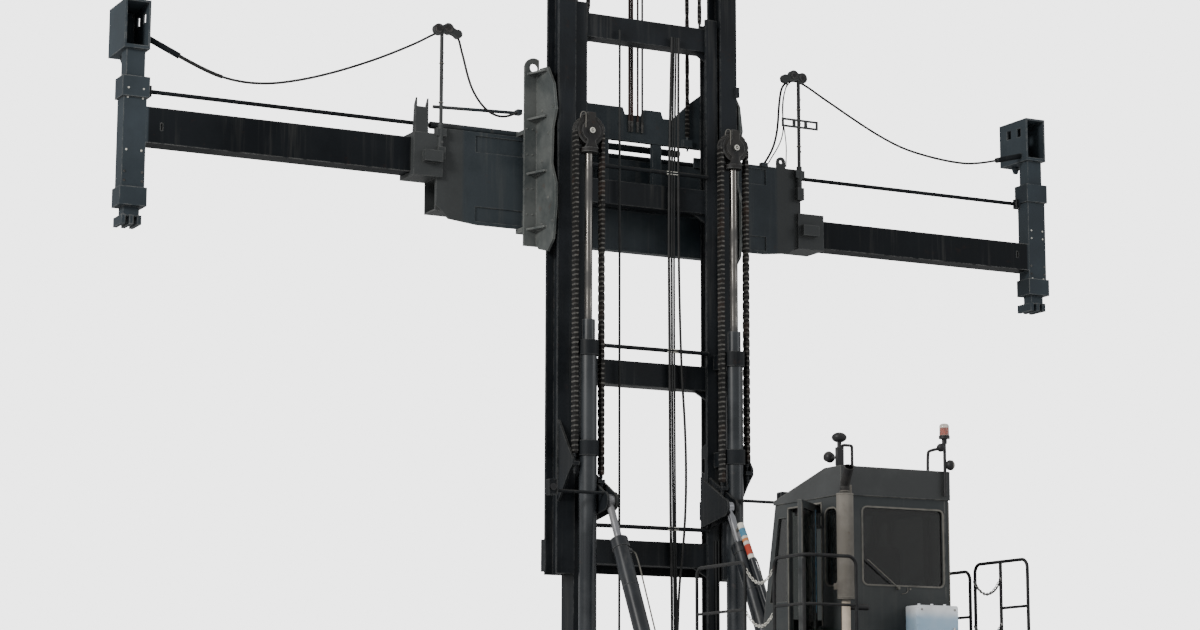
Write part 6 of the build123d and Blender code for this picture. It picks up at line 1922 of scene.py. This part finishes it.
    def _seat(self, kit: Kit) -> None:
        """Two padded cushions over the seat's shells.

        Args:
            kit: The mesh tools.
        """
        for name, low, high, crown, axis in (
            ("seat_cushion", (-0.240, -4.705, 3.432), (0.240, -4.240, 3.585), 0.035, 2),
            ("seat_back", (-0.230, -4.770, 3.592), (0.230, -4.640, 4.160), 0.030, 1),
        ):
            pad = bmesh.new()
            made = bmesh.ops.create_cube(pad, size=2.0)
            edges = list({edge for vert in made["verts"] for edge in vert.link_edges})
            bmesh.ops.subdivide_edges(pad, edges=edges, cuts=15, use_grid_fill=True)
            middle, half = (Vector(low) + Vector(high)) / 2, (Vector(high) - Vector(low)) / 2
            others = [i for i in range(3) if i != axis]
            for vert in pad.verts:
                u = vert.co.copy()
                bulge = (1 - u[others[0]] ** 4) * (1 - u[others[1]] ** 4)
                rim = max(abs(u[others[0]]), abs(u[others[1]]))
                pull = 1.0 - 0.10 * max(0.0, rim - 0.75) / 0.25 * abs(u[axis])
                seam = 0.010 * math.exp(-((abs(u[0]) - 0.62) / 0.035) ** 2) * (abs(u[axis]) > 0.9)
                spot = Vector([u[i] * half[i] * (pull if i in others else 1.0) for i in range(3)])
                spot[axis] = u[axis] * (half[axis] - crown + crown * bulge - seam)
                vert.co = middle + spot
            piece = kit.finish(pad, name, "chassis", Finish.SEAT)
            smooth = piece.modifiers.new("round", "SUBSURF")
            smooth.levels = 1
            smooth.render_levels = 1

    def _lamps(self, kit: Kit) -> None:
        """Roof lamps with their guard and bracket, mast lamps and the beacon's core.

        Args:
            kit: The mesh tools.
        """
        lamps, rims = bmesh.new(), bmesh.new()
        for low, high, bevel in self.lamp_blocks:
            kit.block(lamps, low, high, bevel)
        kit.bars(lamps, self.lamp_rods)
        for centre, radii in self.lamp_domes:
            kit.dome(lamps, centre, radii)
        for centre, axis, radius, tube in self.lamp_rims:
            kit.torus(rims, centre, axis, radius, tube, around=24)
        shells = kit.finish(lamps, "lamp_shells", "chassis", Finish.LAMP)
        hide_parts("roof_lamps")
        kit.finish(rims, "lamp_rims", "chassis", Finish.GASKET)
        kit.line("lamp_guard", "chassis", self.guard, 0.0145, Finish.LAMP)
        kit.line("lamp_bracket", "chassis", self.bracket, 0.015, Finish.LAMP)
        for side in Side:
            x = side.value * 1.475
            head = bmesh.new()
            kit.cylinder(head, (x, -0.507, 5.070), (x, -0.520, 5.070), radius=0.038, sides=24)
            kit.finish(head, f"mast_lamp_glass_{side.word}", "mast_fixed", Finish.LAMP)
        core = bmesh.new()
        kit.cylinder(core, *self.beacon, radius=0.036, sides=18, far=0.028)
        kit.finish(core, "beacon_core", "chassis", Finish.TAPE_RED)

    def _doorway(self, kit: Kit) -> None:
        """Strips on the open door and the lamp over the doorway.

        Args:
            kit: The mesh tools.
        """
        dx, dy = self.door_way
        away = 0.3  # from the door's face, where the lines that seat the strips start
        for name, distance, low, high, finish in self.door_lines:
            x = self.hinge[0] + dx * distance - dy * away
            y = self.hinge[1] + dy * distance + dx * away
            strip = bmesh.new()
            kit.cylinder(strip, kit.seat("cab_door", (x, y, low), (dy, -dx, 0)),
                         kit.seat("cab_door", (x, y, high), (dy, -dx, 0)), radius=0.006, sides=8)
            kit.finish(strip, name, "cab_door", finish)
        red = bmesh.new()
        kit.block(red, (-0.545, -4.19, 4.505), (-0.490, -4.10, 4.545), bevel=0.008)
        kit.finish(red, "door_lamp", "chassis", Finish.RED)
        housing = bmesh.new()
        kit.block(housing, (-0.550, -4.11, 4.500), (-0.485, -4.04, 4.560), bevel=0.006)
        kit.block(housing, (-0.545, -4.16, 4.540), (-0.490, -4.05, 4.575), bevel=0.006)
        kit.finish(housing, "door_lamp_housing", "chassis", Finish.LAMP)

    def _deck(self, kit: Kit) -> None:
        """Safety chains of the gates and the deck's bolts.

        Args:
            kit: The mesh tools.
        """
        left, right = bmesh.new(), bmesh.new()
        for z in (3.925, 3.510):
            kit.links(left, (-self.rail_x, -4.345, z), (-self.rail_x, -4.885, z - 0.01), sag=0.15)
        for z in (3.890, 3.440):
            kit.links(right, (self.rail_x, -4.945, z), (self.rail_x, -4.475, z), sag=0.15)
        kit.finish(left, "gate_chains_left", "chassis", Finish.TAPE_WHITE)
        kit.finish(right, "gate_chains_right", "chassis", Finish.ZINC)
        bolts = bmesh.new()
        starts = [(x, y, 3.6) for x in (-1.18, -0.80, 0.80, 1.18) for y in (-3.45, -4.10, -4.75, -5.38)]
        kit.bolts(bolts, "deck", starts, DOWN, radius=0.012)
        kit.finish(bolts, "deck_bolts", "chassis", Finish.DECK)


@dataclass(frozen=True)
class Tyre:
    """One tyre with its tread.

    Attributes:
        x: X of its middle.
        y: Y of its axle.
        radius: Outer radius, also the axle's height.
        width: Its width.
        lugs: Lugs on each half of the tread.
        steps: Steps round the carcass.
        tread: Depth of the tread.
    """

    x: float
    y: float
    radius: float
    width: float
    lugs: int = 26
    steps: int = 64
    tread: float = 0.026

    def add(self, mesh: Mesh) -> None:
        """Adds the carcass and the lugs.

        Args:
            mesh: Mesh to add to.
        """
        hub, out, half = self.radius * 0.5 + 0.0005, self.radius, self.width / 2
        wall = ((0.70, hub), (0.86, hub + 0.010), (0.96, hub + 0.06), (0.995, (hub + out) / 2),
                (0.97, out - 0.10), (0.93, out - 0.055), (0.82, out - self.tread))
        profile = [(-half * share, r) for share, r in wall]
        profile += [(half * share, r) for share, r in reversed(wall)]
        rings = []
        for i in range(self.steps):
            a = 2 * math.pi * i / self.steps
            sine, cosine = math.sin(a), math.cos(a)
            rings.append([mesh.verts.new((self.x + px, self.y + r * cosine, self.radius + r * sine))
                          for px, r in profile])
        for i in range(self.steps):
            here, there = rings[i], rings[(i + 1) % self.steps]
            for k in range(len(profile)):
                n = (k + 1) % len(profile)
                mesh.faces.new((here[k], here[n], there[n], there[k]))
        for side in (-1, 1):
            for i in range(self.lugs):
                a = 2 * math.pi * (i + (0.5 if side > 0 else 0.0)) / self.lugs
                self._lug(mesh, a, side)

    def _lug(self, mesh: Mesh, angle: float, side: int) -> None:
        """Adds one skewed lug.

        Args:
            mesh: Mesh to add to.
            angle: Where on the tread.
            side: Which half.
        """
        out, half, deep = self.radius, self.width / 2, self.tread
        pitch = 2 * math.pi / self.lugs
        corners = []
        for px, turn, low in ((0.04, 0.10, deep), (0.80, -0.16, deep), (0.97, -0.20, 0.085)):
            for edge in (-0.30, 0.30):
                a = angle + pitch * (turn + edge)
                for r in (out - low - 0.004, out - 0.0006 if low == deep else out - 0.052):
                    corners.append(mesh.verts.new((self.x + side * half * px, self.y + r * math.cos(a),
                                                   self.radius + r * math.sin(a))))
        for b in (0, 4):
            c = corners[b:b + 8]
            mesh.faces.new((c[0], c[4], c[5], c[1]))
            mesh.faces.new((c[2], c[3], c[7], c[6]))
            mesh.faces.new((c[1], c[5], c[7], c[3]))
        mesh.faces.new((corners[0], corners[1], corners[3], corners[2]))
        mesh.faces.new((corners[8], corners[10], corners[11], corners[9]))


@dataclass(frozen=True)
class Chassis(Assembly):
    """Frame, axles, wheels and ballast.

    Attributes:
        drive: X of the two drive tyres, Y, radius and width.
        steer: X of the steer tyre, Y, radius and width.
        steer_lugs: Lugs on each half of a steer tyre.
        nut_rings: Radius of the ring of wheel nuts and their number, for drive and steer wheels.
        tail_x: X of the middle of the right tail lamps.
        tail_lamps: Place of the two red lamps and the clear one across their housing.
    """

    COATS = {
        Finish.CHASSIS: ("chassis_frame", "drive_axle", "steer_axle", "engine_block", "engine_hood", "tanks",
                         "fenders", "steer_knuckle"),
        Finish.BALLAST: ("counterweight",),
        Finish.TYRE: ("drive_tyres", "steer_tyre"),
        Finish.RIM: ("drive_rims", "steer_rim"),
    }
    drive: tuple[float, float, float, float, float] = (1.418, 1.848, -1.250, 0.690, 0.365)
    steer: tuple[float, float, float, float] = (1.010, -5.750, 0.600, 0.320)
    steer_lugs: int = 24
    nut_rings: tuple[tuple[float, int], tuple[float, int]] = ((0.255, 12), (0.150, 10))
    tail_x: float = 0.88
    tail_lamps: Point = (-0.09, 0.0, 0.09)

    def build(self, kit: Kit) -> None:
        """Makes tyres, nuts, lamps, handles and bolts.

        Args:
            kit: The mesh tools.
        """
        for side in Side:
            self._wheels(kit, side)
        self._rear(kit)
        self._hood(kit)

    def _wheels(self, kit: Kit, side: Side) -> None:
        """Makes one side's tyres and wheel nuts.

        Args:
            kit: The mesh tools.
            side: Which side.
        """
        k = side.value
        inner, outer, y, radius, width = self.drive
        pair = bmesh.new()
        for x in (inner, outer):
            Tyre(k * x, y, radius, width).add(pair)
        tyres = kit.finish(pair, f"drive_tread_{side.word}", f"drive_wheels_{side.word}", Finish.TYRE)
        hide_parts(f"drive_tyres_{side.word}")
        x, sy, sr, sw = self.steer
        single = bmesh.new()
        Tyre(k * x, sy, sr, sw, self.steer_lugs).add(single)
        tyre = kit.finish(single, f"steer_tread_{side.word}", f"steer_wheel_{side.word}", Finish.TYRE)
        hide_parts(f"steer_tyre_{side.word}")
        drive_ring, steer_ring = self.nut_rings
        for name, node, body, yy, rr, (ring, count) in (
            ("drive", f"drive_rims_{side.word}", f"drive_wheels_{side.word}", y, radius, drive_ring),
            ("steer", f"steer_rim_{side.word}", f"steer_wheel_{side.word}", sy, sr, steer_ring),
        ):
            nuts = bmesh.new()
            starts = [(k * 2.4, yy + ring * math.cos(2 * math.pi * i / count),
                       rr + ring * math.sin(2 * math.pi * i / count)) for i in range(count)]
            kit.bolts(nuts, node, starts, (-k, 0, 0), radius=0.018)
            kit.finish(nuts, f"{name}_nuts_{side.word}", body, Finish.ZINC)

    def _rear(self, kit: Kit) -> None:
        """Tail lamps and bolts of the counterweight.

        Args:
            kit: The mesh tools.
        """
        housings, red, clear, bolts = bmesh.new(), bmesh.new(), bmesh.new(), bmesh.new()
        for k in (-1, 1):
            x = k * self.tail_x
            kit.block(housings, (x - 0.14, -7.130, 2.06), (x + 0.14, -7.020, 2.16), bevel=0.005)
            for dx, lens in zip(self.tail_lamps, (red, red, clear)):
                kit.cylinder(lens, (x + dx, -7.126, 2.11), (x + dx, -7.137, 2.11), radius=0.036, sides=20)
            starts = [(k * 2.5, y, z) for y in (-6.90, -6.70) for z in (1.0, 1.4, 1.8)]
            kit.bolts(bolts, "counterweight", starts, (-k, 0, 0), radius=0.026)
        kit.finish(housings, "tail_lamp_housings", "chassis", Finish.LAMP)
        kit.finish(red, "tail_lamps", "chassis", Finish.RED)
        kit.finish(clear, "reverse_lamps", "chassis", Finish.CLEAR)
        kit.finish(bolts, "counterweight_bolts", "chassis", Finish.CHASSIS)

    def _hood(self, kit: Kit) -> None:
        """Handles and hinges of the hood, and the tanks' caps.

        Args:
            kit: The mesh tools.
        """
        handles, caps = bmesh.new(), bmesh.new()
        for k in (-1, 1):
            near, far = k * 0.538, k * 0.575
            for y in (-4.35, -3.55):
                for dy in (-0.07, 0.07):
                    kit.cylinder(handles, (near, y + dy, 2.56), (far, y + dy, 2.56), radius=0.008, sides=10)
                kit.cylinder(handles, (far, y - 0.076, 2.56), (far, y + 0.076, 2.56), radius=0.009, sides=10)
            for y in (-5.2, -4.2, -3.2):
                kit.cylinder(handles, (k * 0.546, y - 0.06, 2.69), (k * 0.546, y + 0.06, 2.69), radius=0.012,
                             sides=10)
            x, y, z = kit.seat("tanks", (k * 1.0, -2.9, 2.4), DOWN)
            kit.cylinder(caps, (x, y, z - 0.004), (x, y, z + 0.022), radius=0.064, sides=24)
            kit.torus(caps, (x, y, z + 0.012), UP, radius=0.062, tube=0.006, around=24)
        kit.finish(handles, "hood_handles", "chassis", Finish.RAIL)
        kit.finish(caps, "tank_caps", "chassis", Finish.LAMP)


class Handler:
    """The whole machine's looks."""

    def __init__(self) -> None:
        """Makes the shared tools and the sub-assemblies."""
        self.camera = PhotoCamera()
        self.palette = Palette()
        self.kit = Kit(self.palette)
        self.studio = Studio()
        self.parts = [Mast(), Spreader(), Cab(), Chassis()]

    def build(self) -> None:
        """Makes the camera first, then the stage and every sub-assembly."""
        self.camera.build()
        self.studio.build(self.palette)
        for part in self.parts:
            part.build(self.kit)
            part.dress(self.palette)


def main() -> None:
    """Builds the looks."""
    Handler().build()


if __name__ == "__main__":
    main()
